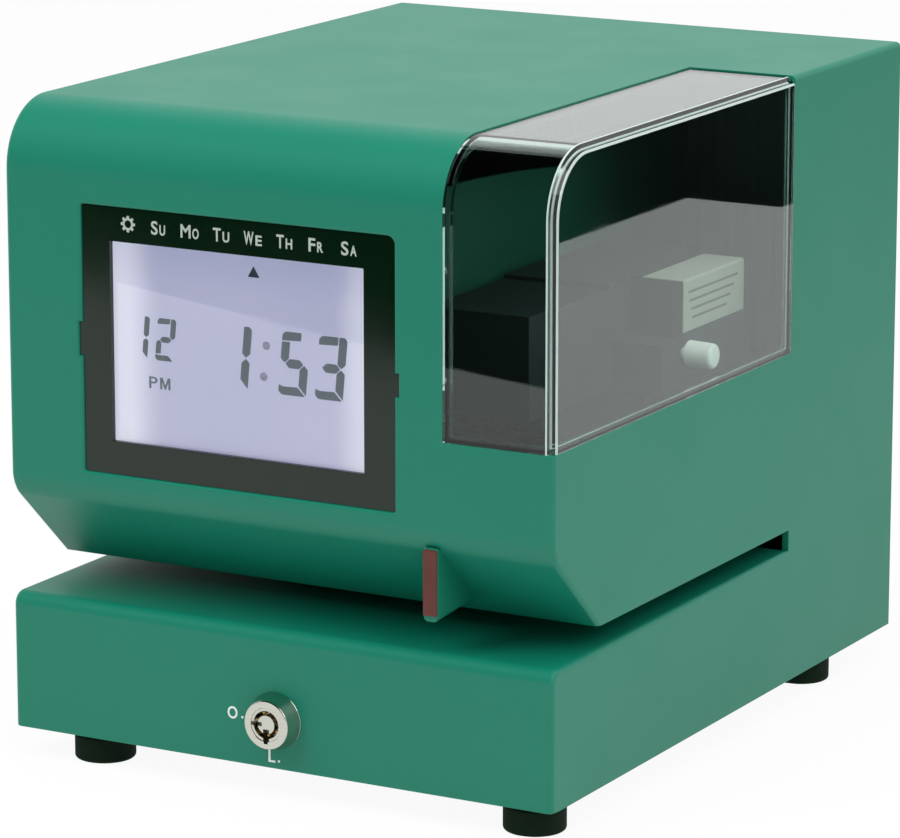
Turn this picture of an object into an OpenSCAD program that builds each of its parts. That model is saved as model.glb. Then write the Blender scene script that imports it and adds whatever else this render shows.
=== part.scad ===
// Desk time clock: a moulded case with a card throat slides forward off a steel chassis that carries
// the display, the type wheels, the print hammer and the ribbon.
// X runs to the right, Y to the back and Z up. The origin is the middle of the footprint on the table.
// A depth in this file is measured back from the front of the case.

/* [Case] */
// Width of the case across its sides
case_w = 216; // [206:1:236]
// Depth of the case from front to back
case_d = 276; // [266:1:300]
// Height of the case above its feet
case_h = 225; // [219:1:245]
// Wall of the moulded case
wall = 2.5; // [2:0.1:2.8]
// Radius of the vertical corners
corner_r = 3; // [3:0.1:6]
// Radius where the front rolls into the top
crown_r = 24; // [16:1:28]
// Radius of the long top edges
shoulder_r = 4.5; // [3.5:0.1:8]

/* [Base and card throat] */
// Height of the base block
base_h = 50; // [48:1:56]
// Height of the card throat between the base and the head
throat_gap = 7.5; // [6.5:0.1:9]
// Depth of the card throat
throat_d = 184; // [180:1:188]
// Height above the case bottom where the front turns back to the throat
chin_h = 88; // [84:1:94]
// Run of the sloped chin from the front back to the throat
chin_run = 33; // [28:1:40]
// Radius of the bend above the chin
chin_r = 12; // [6:1:16]
// Radius of the base's top front edge
step_r = 4.6; // [3:0.1:6]
// Radius of the base's long top edges and of the edges that face the throat and the table
under_r = 2; // [1:0.1:3]

/* [Pointer fin] */
// Width of the pointer fin under the head
fin_w = 5.6; // [4:0.1:8]
// Distance of the fin's middle from the right side
fin_in = 47.2; // [40:0.1:60]
// Height of the fin's lower edge above the throat's ceiling
fin_rise = 5; // [3:0.5:8]
// Thickness of the red strip on the fin
strip_t = 0.8; // [0.5:0.1:1.5]
// Height of the red strip
strip_h = 23; // [16:0.5:24]

/* [Feet] */
// Height of a rubber foot below the case
foot_h = 10; // [8:0.5:14]
// Diameter of a rubber foot
foot_dia = 21.8; // [20:0.1:27]
// Diameter of a foot's neck and of its screw well
foot_neck_dia = 12; // [10:0.5:14]
// Distance of the left feet from the left side
foot_left_in = 29.8; // [20:0.1:50]
// Distance of the right feet from the right side
foot_right_in = 13.1; // [13:0.1:30]
// Depth of the front feet
foot_front_in = 12.5; // [12:0.5:30]
// Distance of the rear feet from the back
foot_rear_in = 52; // [30:1:60]

/* [Window] */
// Width of the clear corner window
window_w = 42; // [36:0.5:46]
// Depth of the window along the side
window_d = 183.5; // [170:0.5:190]
// Height of the window down from the top of the case
window_h = 101.5; // [95:0.5:104]
// Thickness of the clear panes
pane = 2.5; // [2:0.1:3]
// How far the window's top lies below the case's top
window_drop = 0.5; // [0.5:0.1:1.5]
// Width of the window's lap behind the case wall
lap_w = 5; // [4:0.5:7]
// Thickness of that lap
lap_t = 2; // [1.5:0.1:2.4]

/* [Display] */
// Distance of the bezel from the window beside it
display_gap = 18.5; // [14:0.5:24]
// Height of the bezel above the bend of the chin
display_rise = 9; // [8.5:0.5:14]
// Distance of the bezel from the left side
display_left = 31; // [26:0.5:34]
// Distance of the bezel below the top
display_top = 33.3; // [31:0.1:36]
// Recess of the bezel behind the front
bezel_recess = 1.2; // [0.8:0.1:1.6]
// Thickness of the bezel
bezel_t = 2; // [1.8:0.1:2.5]
// Width of the bezel's lip behind the case wall
bezel_lip = 4; // [3:0.5:5]
// Distance of the view area from the bezel's right edge
view_right = 12.4; // [11:0.1:16]
// Height of the view area above the bezel's lower edge
view_rise = 11.8; // [9:0.1:14]
// Distance of the view area from the bezel's left edge
view_left = 11.2; // [9:0.1:14]
// Distance of the view area below the bezel's top edge
view_drop = 12.2; // [10:0.1:14]
// Thickness of the clear lens
lens_t = 0.8; // [0.6:0.1:1]
// Thickness of the display glass
glass_t = 2.2; // [1.8:0.1:3]
// Thickness of the backlight
backlight_t = 5.2; // [4:0.1:7]
// Thickness of a circuit board
board_t = 1.6; // [1.2:0.1:2]

/* [Lock] */
// Height of the lock above the case bottom
lock_rise = 17.5; // [17:0.5:22]
// How far the lock stands out of the front
lock_proud = 6.5; // [5:0.5:9]
// Diameter of the lock's face
lock_face_dia = 17; // [15:0.5:18]
// Diameter of the lock's flange on the case
lock_flange_dia = 21.5; // [20:0.5:24]
// Diameter of the lock's barrel
barrel_dia = 16; // [15:0.1:16.4]
// Length of the barrel behind the front
barrel_len = 20; // [16:0.5:20.5]
// Diameter of the turning plug
plug_dia = 11.9; // [11:0.1:12.5]
// Length of the cam below the plug's axis
cam_len = 12; // [10:0.5:12.5]
// Width of the cam
cam_w = 8; // [7:0.5:9]

/* [Chassis] */
// Thickness of the base plate
plate_t = 2; // [1.6:0.1:2.4]
// Height of the base plate above the case's bottom edge
plate_rise = 2; // [1.8:0.1:2.4]
// Thickness of the three upright frames
frame_t = 2; // [1.6:0.1:2.4]
// Distance of the outer frames from the case wall
frame_gap = 6; // [5.5:0.1:8]
// Distance of the middle frame's left face from the right side
mid_frame_in = 88; // [84:0.5:90]
// Thickness of the rear panel
panel_t = 1.5; // [1.2:0.1:2]
// Distance of the rear panel inside the back edge of the case
panel_in = 6; // [5:0.5:10]
// Diameter of the tie bars
bar_dia = 8; // [7:0.5:10]
// Outer diameter of the cord bush's flange
bush_dia = 18; // [16:0.5:22]
// Bore of the cord bush
bush_bore = 7.5; // [6:0.1:9]

/* [Print works] */
// Diameter of the type shaft
shaft_dia = 6; // [5:0.1:7]
// Depth of the type shaft
shaft_in = 110; // [104:1:116]
// Height of the type shaft above the floor of the head
shaft_rise = 22.5; // [22.3:0.1:26]
// Distance of the type wheels' middle from the right side
print_in = 51.5; // [50:0.5:54]
// Diameter of a type wheel over its type
wheel_dia = 41; // [38:0.1:41]
// Width of a type wheel
wheel_w = 6; // [5:0.1:6.5]
// Height of the type on a wheel
type_h = 0.8; // [0.5:0.1:1]
// Gear module of the wheel drive
gear_module = 1; // [1:0.01:1.01]
// Teeth of the minute wheel's gear
gear_teeth = 40; // [36:4:40]
// Teeth of the motor pinion
pinion_teeth = 12; // [12:2:14]
// Face width of the gears
gear_w = 4; // [3:0.1:4.5]
// Diameter of the drive motor
motor_dia = 36; // [28:1:36]
// Length of the drive motor
motor_len = 20; // [16:0.5:21]
// Thickness of the ribbon
ribbon_t = 0.3; // [0.2:0.05:0.4]
// Diameter of a ribbon guide
guide_dia = 4; // [3:0.1:5]

/* [Hammer and trigger] */
// Length of the hammer's arm from its pivot to its head
hammer_arm = 55; // [50:1:60]
// Length of the hammer's tail from its pivot to the plunger
hammer_tail = 25; // [24:0.5:28]
// Diameter of the hammer and trigger pins
pin_dia = 4; // [3:0.1:4.5]
// Diameter of the solenoid plunger
plunger_dia = 7.9; // [7:0.1:9]
// Outer diameter of the solenoid coil
coil_dia = 21; // [18:0.5:22]
// Distance of the trigger lever from the right side
trigger_in = 78; // [77:0.5:79]
// Thickness of the trigger lever
trigger_w = 4; // [3:0.1:5]

/* [Ribbon cassette] */
// Height of the cassette tray above the floor of the head
tray_rise = 56; // [54:0.5:58]
// Height of the cassette's main body
cassette_h = 37; // [34:0.5:40]
// Distance of the cassette's right face from the right side
cassette_in = 20; // [19:0.5:24]
// Diameter of the ribbon knob
knob_dia = 9.8; // [9:0.1:12]
// Length of the ribbon knob
knob_len = 10.5; // [10:0.5:13.5]
// Thickness of the cassette label
label_t = 0.3; // [0.2:0.05:0.5]

/* [Hidden] */
$fn = 64;

// Clearances: a running fit, a slip fit between still parts, a seat and a margin for cuts
fit = 0.05;
slip = 0.15;
seat = 0.3;
over = 1;

// Levels and sides of the case
half_w = case_w / 2;
in_x = half_w - wall;
front_y = -(case_d - lock_proud) / 2;
bottom_z = foot_h;
top_z = foot_h + case_h;
floor_z = foot_h + base_h;
head_z = floor_z + throat_gap;
chin_z = foot_h + chin_h;
under_floor = floor_z - wall;
head_floor = head_z + wall;
in_top = top_z - wall;
chin_angle = atan2(chin_z - head_z, chin_run);
fin_x = half_w - fin_in;
fin_z = head_z + fin_rise;

// Chassis levels and planes
plate_low = bottom_z + plate_rise;
plate_top = plate_low + plate_t;
plate_half_w = in_x - 4 * slip;
plate_front = wall + 10 * slip;
frame_x = in_x - frame_gap;
mid_x = half_w - mid_frame_in;
panel_back = case_d - panel_in;
panel_front = panel_back - panel_t;
column_front = throat_d + 5;
stop_t = 2;
notch_low = under_floor - 4;
notch_high = head_floor + 4;
flange_w = 12;
lower_arm_front = 40;
frame_r = 6;
screw_dia = 3;
screw_head_dia = 6;
screw_head_h = 1.8;

// Display stack behind the front
bezel_x0 = -half_w + display_left;
bezel_x1 = half_w - window_w - display_gap;
bezel_z1 = top_z - display_top;
bezel_z0 = chin_z + display_rise;
bezel_h = bezel_z1 - bezel_z0;
bezel_back = bezel_recess + bezel_t;
bezel_corner_r = 3;
tab_w = 1.5;
left_tab_z = [bezel_z0 + 0.433 * bezel_h, bezel_z0 + 0.56 * bezel_h];
right_tab_z = [bezel_z0 + 0.422 * bezel_h, bezel_z0 + 0.507 * bezel_h];
view_x0 = bezel_x0 + view_left;
view_x1 = bezel_x1 - view_right;
view_z1 = bezel_z1 - view_drop;
view_z0 = bezel_z0 + view_rise;
view_margin = 4;
glass_front = bezel_back + lens_t + 2 * seat;
backlight_front = glass_front + glass_t;
board_front = backlight_front + backlight_t;
bracket_front = board_front + board_t;
bracket_t = 1.5;
frame_front = bracket_front + bracket_t;

// Lock, with depths along its axis
lock_z = bottom_z + lock_rise;
plug_front = -lock_proud + 0.3;
plug_back = barrel_len + 0.5;
shank_w = 6;
keeper_front = barrel_len + 1.5;
keeper_t = 2;
cam_front = keeper_front + keeper_t + 1.5;
cam_t = 2;
cam_screw_h = 2;
key_ring_dia = 10;
key_post_dia = 6.6;
key_depth = 5;

// Print works above the throat
shaft_z = head_floor + shaft_rise;
print_x = half_w - print_in;
wheel_gap = 0.5;
wheel_pitch = wheel_w + wheel_gap;
date_x0 = print_x - wheel_pitch - wheel_w / 2;
hour_x0 = date_x0 + wheel_pitch;
minute_x0 = hour_x0 + wheel_pitch;
hub_dia = 14;
gear_x0 = minute_x0 + wheel_w + 2;
gear_x1 = gear_x0 + gear_w;
pressure = 25;
tooth_play = 0.3;
pinion_in = shaft_in + gear_module * (gear_teeth + pinion_teeth) / 2;
pinion_shaft_dia = 4;
motor_x1 = frame_x - frame_t;
motor_x0 = motor_x1 - motor_len;
motor_boss_x0 = motor_x0 - 2;
motor_flange_t = 1.6;
motor_screw_reach = motor_dia / 2 + 5;
ribbon_z = shaft_z - gear_module * (gear_teeth / 2 + 0.9) - 0.3 - ribbon_t;
ribbon_half_w = 1.5 * wheel_w + wheel_gap;
ribbon_reach = wheel_dia / 2 + guide_dia + 1;
guide_z = ribbon_z + ribbon_t + guide_dia / 2;

// Hammer below the throat
pivot_in = shaft_in + hammer_arm;
pivot_z = under_floor - 13.5;
head_top = under_floor - 0.8;
pad_t = 1.5;
hammer_half_w = 10;
hammer_head_d = 12;
hub_r = pin_dia / 2 + 2.5;
ear_x = 17;
ear_t = 2;
tail_top = pivot_z + 0.5;
tail_t = 2;
plunger_in = pivot_in + hammer_tail;
cross_pin_dia = 2.5;
cross_pin_z = tail_top + seat + cross_pin_dia / 2;
neck_dia = 5;
yoke_top = pivot_z - 11;
yoke_half = coil_dia / 2 + 2.5;
stroke_room = 7;

// Trigger at the throat's end
trigger_x = half_w - trigger_in;
trigger_pivot_in = column_front + 3;
trigger_pivot_z = floor_z - 20;
finger_low = floor_z + throat_gap * 0.2;
finger_top = floor_z + throat_gap * 0.68;
finger_front = throat_d - 4;
trigger_ear_t = 1.5;
switch_front = trigger_pivot_in + hub_r + 2.6;
switch_d = 12;
switch_h = 10;

// Cassette on its tray
tray_z = head_floor + tray_rise;
tray_t = 2;
tray_front = shaft_in - 60;
tray_back = shaft_in + 95;
cassette_z = tray_z + tray_t;
cassette_x1 = half_w - cassette_in;
cassette_mid_x = cassette_x1 - 22;
cassette_x0 = mid_x + frame_t + 4;
cassette_front = tray_front + 12;
cassette_back = tray_back - 5;
cassette_raise = 1.5;
raise_front = cassette_front + 56;
label_front = raise_front + 19.5;
label_back = label_front + 50;
label_low = cassette_z + 20;
label_top = cassette_z + cassette_h + cassette_raise;
knob_in = raise_front + 18;
knob_z = cassette_z + 12.7;
knob_shaft_dia = 4;
knob_shaft_len = 15;

// Fasteners and boards
column_span = panel_front - column_front;
bars = [
  [column_front + 0.52 * column_span, plate_top + 22], [column_front + 0.64 * column_span, head_floor + 40]
];
bar_hole_dia = bar_dia + 2 * fit;
base_screw_depths = [foot_front_in + 57.5, case_d - foot_rear_in - 29];
rear_screw_zs = [plate_top + 14, head_floor + 30];
flange_mid = flange_w / 2;
bush_x = -half_w + 38;
bush_z = plate_top + 16;
spacer_h = 6;
spacer_dia = 6;
board_x0 = -frame_x + frame_t + spacer_h;
board_depths = [60, 200];
board_zs = [head_floor + 26, bezel_z1 - 18];
board_hole_in = 6;
cell_dia = 20;
cell_t = 3.2;

// Transformer on the base plate
core_x = -half_w + 48;
core_in = 95;
core_w = 50;
core_d = 18;
core_h = 38;
limb_w = 14;
core_window_w = 9;
core_window_h = 22;
coil_over = 8;

// Row position of a depth behind the front
function at(depth) = front_y + depth;

// Outline of an involute gear, as points round its centre
function involute_turn(angle) = tan(angle) * 180 / PI - angle;
function flank_turn(r, base_r, pitch_r, half_turn) =
  half_turn + involute_turn(acos(base_r / pitch_r)) - (r > base_r ? involute_turn(acos(base_r / r)) : 0);
function gear_outline(teeth) =
  let (
    pitch_r = gear_module * teeth / 2,
    base_r = pitch_r * cos(pressure),
    root_r = pitch_r - 1.15 * gear_module,
    tip_r = pitch_r + 0.9 * gear_module,
    half_turn = 90 / teeth - tooth_play / (4 * pitch_r) * 180 / PI,
    steps = 4,
    radii = [for (i = [0 : steps]) root_r + (tip_r - root_r) * i / steps]
  )
  [
    for (tooth = [0 : teeth - 1], side = [-1, 1], i = [0 : steps])
      let (
        r = radii[side < 0 ? i : steps - i],
        turn = 360 * tooth / teeth + side * flank_turn(r, base_r, pitch_r, half_turn)
      )
      r * [cos(turn), sin(turn)]
  ];

// A box between two sides, two depths and two levels
module block(x0, x1, d0, d1, z0, z1) {
  translate([x0, at(d0), z0]) cube([x1 - x0, d1 - d0, z1 - z0]);
}

// Round rods along X, Y and Z
module rod_x(dia, x0, x1, depth, z) {
  translate([x0, at(depth), z]) rotate([0, 90, 0]) cylinder(d = dia, h = x1 - x0);
}

module rod_y(dia, d0, d1, x, z) {
  translate([x, at(d0), z]) rotate([-90, 0, 0]) cylinder(d = dia, h = d1 - d0);
}

module rod_z(dia, z0, z1, x, depth) {
  translate([x, at(depth), z0]) cylinder(d = dia, h = z1 - z0);
}

// Prisms of a flat outline: a side view along X, a front view along Y and a plan along Z
module side_prism(x0, x1) {
  translate([x0, front_y, 0]) rotate([90, 0, 90]) linear_extrude(x1 - x0) children();
}

module front_prism(d0, d1) {
  translate([0, at(d1), 0]) rotate([90, 0, 0]) linear_extrude(d1 - d0) children();
}

module plan_prism(z0, z1) {
  translate([0, front_y, z0]) linear_extrude(z1 - z0) children();
}

// The waste outside a rounded square corner
module corner_waste(r) {
  difference() {
    translate([-over, -over]) square(r + over);
    translate([r, r]) circle(r);
  }
}

// A rectangle between two corners, with a radius for each of its own corners
module panel(x0, x1, y0, y1, bl = 0, br = 0, tr = 0, tl = 0) {
  difference() {
    translate([x0, y0]) square([x1 - x0, y1 - y0]);
    if (bl > 0) translate([x0, y0]) corner_waste(bl);
    if (br > 0) translate([x1, y0]) mirror([1, 0]) corner_waste(br);
    if (tr > 0) translate([x1, y1]) rotate(180) corner_waste(tr);
    if (tl > 0) translate([x0, y1]) mirror([0, 1]) corner_waste(tl);
  }
}

// Everything in front of the chin, seen from the side, for a surface t inside the outer one
module chin_waste(t) {
  reach = case_h;
  lean = (1 - sin(chin_angle)) / cos(chin_angle);
  normal = [sin(chin_angle), cos(chin_angle)];
  bend = [chin_r, chin_z + chin_r * lean];
  high = [t, bend.y];
  low = bend - (chin_r - t) * normal;
  translate([0, chin_z]) rotate(-chin_angle) translate([-reach, t - reach]) square([2 * reach, reach]);
  difference() {
    polygon([high, high - [over, 0], [t - over, chin_z - over], low - over * normal, low, bend]);
    translate(bend) circle(chin_r - t);
  }
}

// The head, the base and the rear column as solids t inside the outer surface
module head_block(t, back, drop = 0) {
  top = top_z - t - drop;
  side = half_w - t;
  plan_r = max(corner_r - t, seat);
  rear_r = t > 0 ? 0 : corner_r;
  top_r = max(shoulder_r - t, seat);
  intersection() {
    side_prism(-side, side) difference() {
      panel(t, back, head_z + t, top, tl = crown_r - t);
      chin_waste(t);
    }
    plan_prism(head_z, top_z) panel(-side, side, t, back, plan_r, plan_r, rear_r, rear_r);
    front_prism(t, back) panel(-side, side, head_z + t, top, seat, seat, top_r, top_r);
  }
}

module base_block(t, back, low) {
  top = floor_z - t;
  side = half_w - t;
  plan_r = max(corner_r - t, seat);
  rear_r = t > 0 ? 0 : corner_r;
  edge_r = max(step_r - t, seat);
  long_r = max(under_r - t, seat);
  intersection() {
    side_prism(-side, side) panel(t, back, low, top, bl = t > 0 ? 0 : under_r, tl = edge_r);
    plan_prism(low, top) panel(-side, side, t, back, plan_r, plan_r, rear_r, rear_r);
    front_prism(t, back) panel(-side, side, low, top, 0, 0, long_r, long_r);
  }
}

module column_block() {
  intersection() {
    plan_prism(bottom_z, top_z) panel(-half_w, half_w, throat_d, case_d, tr = corner_r, tl = corner_r);
    front_prism(throat_d, case_d) panel(-half_w, half_w, bottom_z, top_z, 0, 0, shoulder_r, shoulder_r);
  }
}

module case_cavity() {
  open_back = case_d + over;
  top_r = max(shoulder_r - wall, seat);
  head_block(wall, open_back);
  base_block(wall, open_back, bottom_z - over);
  front_prism(throat_d, open_back) panel(-in_x, in_x, bottom_z - over, in_top, 0, 0, top_r, top_r);
}

// The corner that the window fills, m inside its edges
module window_zone(m) {
  block(half_w - window_w + m, half_w + over, -over, window_d - m, top_z - window_h + m, top_z + over);
}

// The opening for the display, m inside its edges, with its two tab notches
module display_outline(m) {
  edge_r = 0.8;
  panel(bezel_x0 + m, bezel_x1 - m, bezel_z0 + m, bezel_z1 - m, edge_r, edge_r, bezel_corner_r, edge_r);
  panel(bezel_x0 - tab_w + m, bezel_x0 + 2 * m + over, left_tab_z[0] + m, left_tab_z[1] - m);
  panel(bezel_x1 - 2 * m - over, bezel_x1 + tab_w - m, right_tab_z[0] + m, right_tab_z[1] - m);
}

module view_outline(m) {
  panel(view_x0 - m, view_x1 + m, view_z0 - m, view_z1 + m);
}

// Openings over the hammer, in the throat's floor and in its ceiling
module print_openings() {
  floor_half_w = hammer_half_w + 2.5;
  floor_front = shaft_in - hammer_head_d / 2 - 10;
  floor_back = pivot_in - 20;
  ceiling_half_w = ribbon_half_w + 1.5;
  ceiling_half_d = hammer_head_d / 2 + 12;
  block(print_x - floor_half_w, print_x + floor_half_w, floor_front, floor_back,
    under_floor - over, floor_z + over);
  block(print_x - ceiling_half_w, print_x + ceiling_half_w, shaft_in - ceiling_half_d,
    shaft_in + ceiling_half_d, head_z - over, head_floor + over);
}

// Ribs inside the case that ride on the base plate's edges
module case_runners() {
  runner_w = 3;
  runner_h = 3;
  for (side = [-1, 1])
    block(side < 0 ? -in_x - seat : in_x - runner_w, side < 0 ? -in_x + runner_w : in_x + seat,
      plate_front + 6, panel_front - 10, plate_top + seat, plate_top + seat + runner_h);
}

module pointer_fin() {
  side_prism(fin_x - fin_w / 2, fin_x + fin_w / 2) intersection() {
    panel(strip_t, chin_run, fin_z, chin_z + chin_r);
    chin_waste(wall / 2);
  }
}

module case_shell() {
  color("#267b63") {
    difference() {
      union() {
        difference() {
          union() {
            head_block(0, case_d);
            base_block(0, case_d, bottom_z);
            column_block();
          }
          case_cavity();
        }
        case_runners();
      }
      window_zone(0);
      front_prism(-over, wall + over) display_outline(0);
      rod_y(barrel_dia + 2 * slip, -over, wall + over, 0, lock_z);
      print_openings();
      window_screw_set(screw_dia / 2 + fit);
    }
    pointer_fin();
  }
}

// Places of the window's screws: two behind the front wall and two behind the right wall
front_screw_x = half_w - window_w - lap_w / 2;
front_screw_zs = [top_z - window_h + 20, top_z - crown_r - 20];
side_screw_z = top_z - window_h - lap_w / 2;
side_screw_depths = [window_d * 0.25, window_d * 0.75];
window_screw_bite = 1.2;

module window_screw_set(shank_r) {
  for (z = front_screw_zs) rod_y(2 * shank_r, wall - window_screw_bite, wall + lap_t + seat,
    front_screw_x, z);
  for (depth = side_screw_depths)
    rod_x(2 * shank_r, in_x - lap_t - seat, in_x + window_screw_bite, depth, side_screw_z);
}

module window_screws() {
  head_h = 1;
  color("silver") {
    window_screw_set(screw_dia / 2 - fit);
    for (z = front_screw_zs)
      rod_y(lap_w - 2 * seat, wall + lap_t, wall + lap_t + head_h, front_screw_x, z);
    for (depth = side_screw_depths)
      rod_x(lap_w - 2 * seat, in_x - lap_t - head_h, in_x - lap_t, depth, side_screw_z);
  }
}

// The wall of the head between two depths below its outer surface
module head_skin(t0, t1) {
  difference() {
    head_block(t0, case_d, window_drop);
    head_block(t1, case_d + over, window_drop);
  }
}

module clear_window() {
  inner_edge = 2;
  color("#b9cfcb", 0.45) difference() {
    union() {
      intersection() {
        head_skin(0, pane);
        window_zone(slip);
      }
      intersection() {
        head_skin(pane / 2, wall + lap_t);
        difference() {
          window_zone(slip);
          window_zone(inner_edge);
        }
      }
      intersection() {
        head_skin(wall + slip, wall + lap_t);
        difference() {
          window_zone(-lap_w);
          window_zone(inner_edge);
        }
      }
    }
    window_screw_set(screw_dia / 2 + fit);
  }
}

module display_bezel() {
  color("#101814") difference() {
    union() {
      front_prism(bezel_recess, wall) display_outline(slip);
      front_prism(wall, bezel_back)
        panel(bezel_x0 - bezel_lip, bezel_x1 + bezel_lip, bezel_z0 - bezel_lip, bezel_z1 + bezel_lip);
    }
    front_prism(bezel_recess - over, bezel_back + over) view_outline(0);
  }
}

module display_lens() {
  color("#dfe6ea", 0.4) front_prism(bezel_back, bezel_back + lens_t) view_outline(view_margin);
}

module pointer_strip() {
  color("#8f3b34")
    block(fin_x - fin_w / 2, fin_x + fin_w / 2, 0, strip_t, fin_z + seat, fin_z + seat + strip_h);
}

module lock_body() {
  flange_h = 1.2;
  color("#c9cac4") difference() {
    union() {
      rod_y(lock_flange_dia, -flange_h, 0, 0, lock_z);
      translate([0, at(-lock_proud), lock_z]) rotate([-90, 0, 0])
        cylinder(d1 = lock_face_dia, d2 = lock_flange_dia - 1, h = lock_proud - flange_h);
      rod_y(barrel_dia, -flange_h, barrel_len, 0, lock_z);
    }
    rod_y(plug_dia + 2 * fit, -lock_proud - over, barrel_len + over, 0, lock_z);
  }
}

module lock_nut() {
  nut_dia = 24;
  nut_t = 4;
  color("#b8b9b3") difference() {
    translate([0, at(wall), lock_z]) rotate([-90, 0, 0]) cylinder(d = nut_dia, h = nut_t, $fn = 6);
    rod_y(barrel_dia + 2 * fit, wall - over, wall + nut_t + over, 0, lock_z);
  }
}

// The plug has a ring-shaped keyway round a post, with a notch below and a smaller one to the left
module lock_plug() {
  notch_w = 2.4;
  small_notch_w = 1.4;
  key_back = plug_front + key_depth;
  color("#d2d3cd") {
    difference() {
      rod_y(plug_dia, plug_front, plug_back, 0, lock_z);
      difference() {
        rod_y(key_ring_dia, plug_front - over, key_back, 0, lock_z);
        rod_y(key_post_dia, plug_front - over, key_back, 0, lock_z);
      }
      block(-notch_w / 2, notch_w / 2, plug_front - over, key_back, lock_z - plug_dia,
        lock_z - key_post_dia / 4);
      block(-plug_dia, -key_post_dia / 4, plug_front - over, key_back,
        lock_z - small_notch_w / 2, lock_z + small_notch_w / 2);
    }
    difference() {
      block(-shank_w / 2, shank_w / 2, plug_back, cam_front + cam_t, lock_z - shank_w / 2,
        lock_z + shank_w / 2);
      rod_y(screw_dia, cam_front - 4, cam_front + cam_t + over, 0, lock_z);
    }
  }
}

module lock_cam() {
  hole = shank_w / 2 + fit;
  color("#a9aaa5") difference() {
    union() {
      rod_y(cam_w + 3, cam_front, cam_front + cam_t, 0, lock_z);
      block(-cam_w / 2, cam_w / 2, cam_front, cam_front + cam_t, lock_z - cam_len, lock_z);
    }
    block(-hole, hole, cam_front - over, cam_front + cam_t + over, lock_z - hole, lock_z + hole);
  }
}

module cam_screw() {
  color("silver") {
    rod_y(screw_dia - 2 * fit, cam_front - 3, cam_front + cam_t, 0, lock_z);
    rod_y(cam_w + 2, cam_front + cam_t, cam_front + cam_t + cam_screw_h, 0, lock_z);
  }
}

// Feet and their screws, which go up into the base plate
foot_xs = [-half_w + foot_left_in, half_w - foot_right_in];
foot_depths = [foot_front_in, case_d - foot_rear_in];
foot_gap = 0.5;
foot_screw_dia = 4;
foot_well_dia = 8;
foot_well_h = 4.5;
foot_screw_head_h = 2;

module foot_screw_holes(low, high) {
  for (x = foot_xs, depth = foot_depths) rod_z(foot_screw_dia + 2 * fit, low, high, x, depth);
}

module rubber_feet() {
  edge_r = 1.2;
  color("#1b1b1b") difference() {
    for (x = foot_xs, depth = foot_depths) {
      translate([x, at(depth), 0]) rotate_extrude()
        panel(0, foot_dia / 2, 0, foot_h - foot_gap, br = edge_r, tr = edge_r);
      rod_z(foot_neck_dia, foot_h / 2, plate_low, x, depth);
    }
    for (x = foot_xs, depth = foot_depths) rod_z(foot_well_dia, -over, foot_well_h, x, depth);
    foot_screw_holes(foot_well_h - over, plate_low + over);
  }
}

module foot_screws() {
  color("silver") for (x = foot_xs, depth = foot_depths) {
    rod_z(foot_well_dia - 2 * seat, foot_well_h - foot_screw_head_h, foot_well_h, x, depth);
    rod_z(foot_screw_dia, foot_well_h - seat, plate_top, x, depth);
  }
}

// Middles of the frames' flanges, from left to right
flange_xs = [-frame_x + flange_mid, mid_x + flange_mid, frame_x - flange_mid];
rear_flange_top = head_floor + 45;

module base_screw_holes() {
  for (x = flange_xs, depth = base_screw_depths)
    rod_z(screw_dia + 2 * fit, plate_low - over, plate_top + frame_t + over, x, depth);
}

module rear_screw_holes() {
  for (x = flange_xs, z = rear_screw_zs)
    rod_y(screw_dia + 2 * fit, panel_front - frame_t - over, panel_back + over, x, z);
}

module base_plate() {
  plate_r = 2;
  color("#9ba19c") difference() {
    plan_prism(plate_low, plate_top)
      panel(-plate_half_w, plate_half_w, plate_front, panel_front, plate_r, plate_r);
    foot_screw_holes(plate_low - over, plate_top + over);
    base_screw_holes();
  }
}

module base_screws() {
  color("silver") for (x = flange_xs, depth = base_screw_depths) {
    rod_z(screw_head_dia, plate_low - screw_head_h, plate_low, x, depth);
    rod_z(screw_dia, plate_low - seat, plate_top + frame_t, x, depth);
  }
}

// A frame reaches under the throat, up behind it and out above it
module frame_plate(x0, front, top, flange_x0) {
  chin_room = 3;
  difference() {
    union() {
      side_prism(x0, x0 + frame_t) {
        difference() {
          panel(front, panel_front, notch_high, top, tl = frame_r);
          chin_waste(wall + chin_room);
        }
        panel(column_front, panel_front, plate_top, notch_high + over);
        panel(lower_arm_front, panel_front, plate_top, notch_low, tl = frame_r);
      }
      block(flange_x0, flange_x0 + flange_w, lower_arm_front + frame_r, panel_front, plate_top,
        plate_top + frame_t);
      block(flange_x0, flange_x0 + flange_w, panel_front - frame_t, panel_front, plate_top,
        rear_flange_top);
    }
    base_screw_holes();
    rear_screw_holes();
  }
}

frame_top = bezel_z1 + 2;
bar_screw_dia = 4;

module bar_screw_holes(x0, x1) {
  for (bar = bars) rod_x(bar_screw_dia + 2 * fit, x0, x1, bar[0], bar[1]);
}

module left_frame() {
  color("#8d938f") difference() {
    frame_plate(-frame_x, frame_front, frame_top, -frame_x);
    bar_screw_holes(-frame_x - over, -frame_x + frame_t + over);
    for (depth = spacer_depths, z = spacer_zs)
      rod_x(screw_dia + 2 * fit, -frame_x - over, -frame_x + frame_t + over, depth, z);
  }
}

module mid_frame() {
  color("#8d938f") difference() {
    frame_plate(mid_x, frame_front, frame_top, mid_x);
    for (bar = bars) rod_x(bar_hole_dia, mid_x - over, mid_x + frame_t + over, bar[0], bar[1]);
    rod_x(shaft_dia + 2 * fit, mid_x - over, mid_x + frame_t + over, shaft_in, shaft_z);
  }
}

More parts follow.
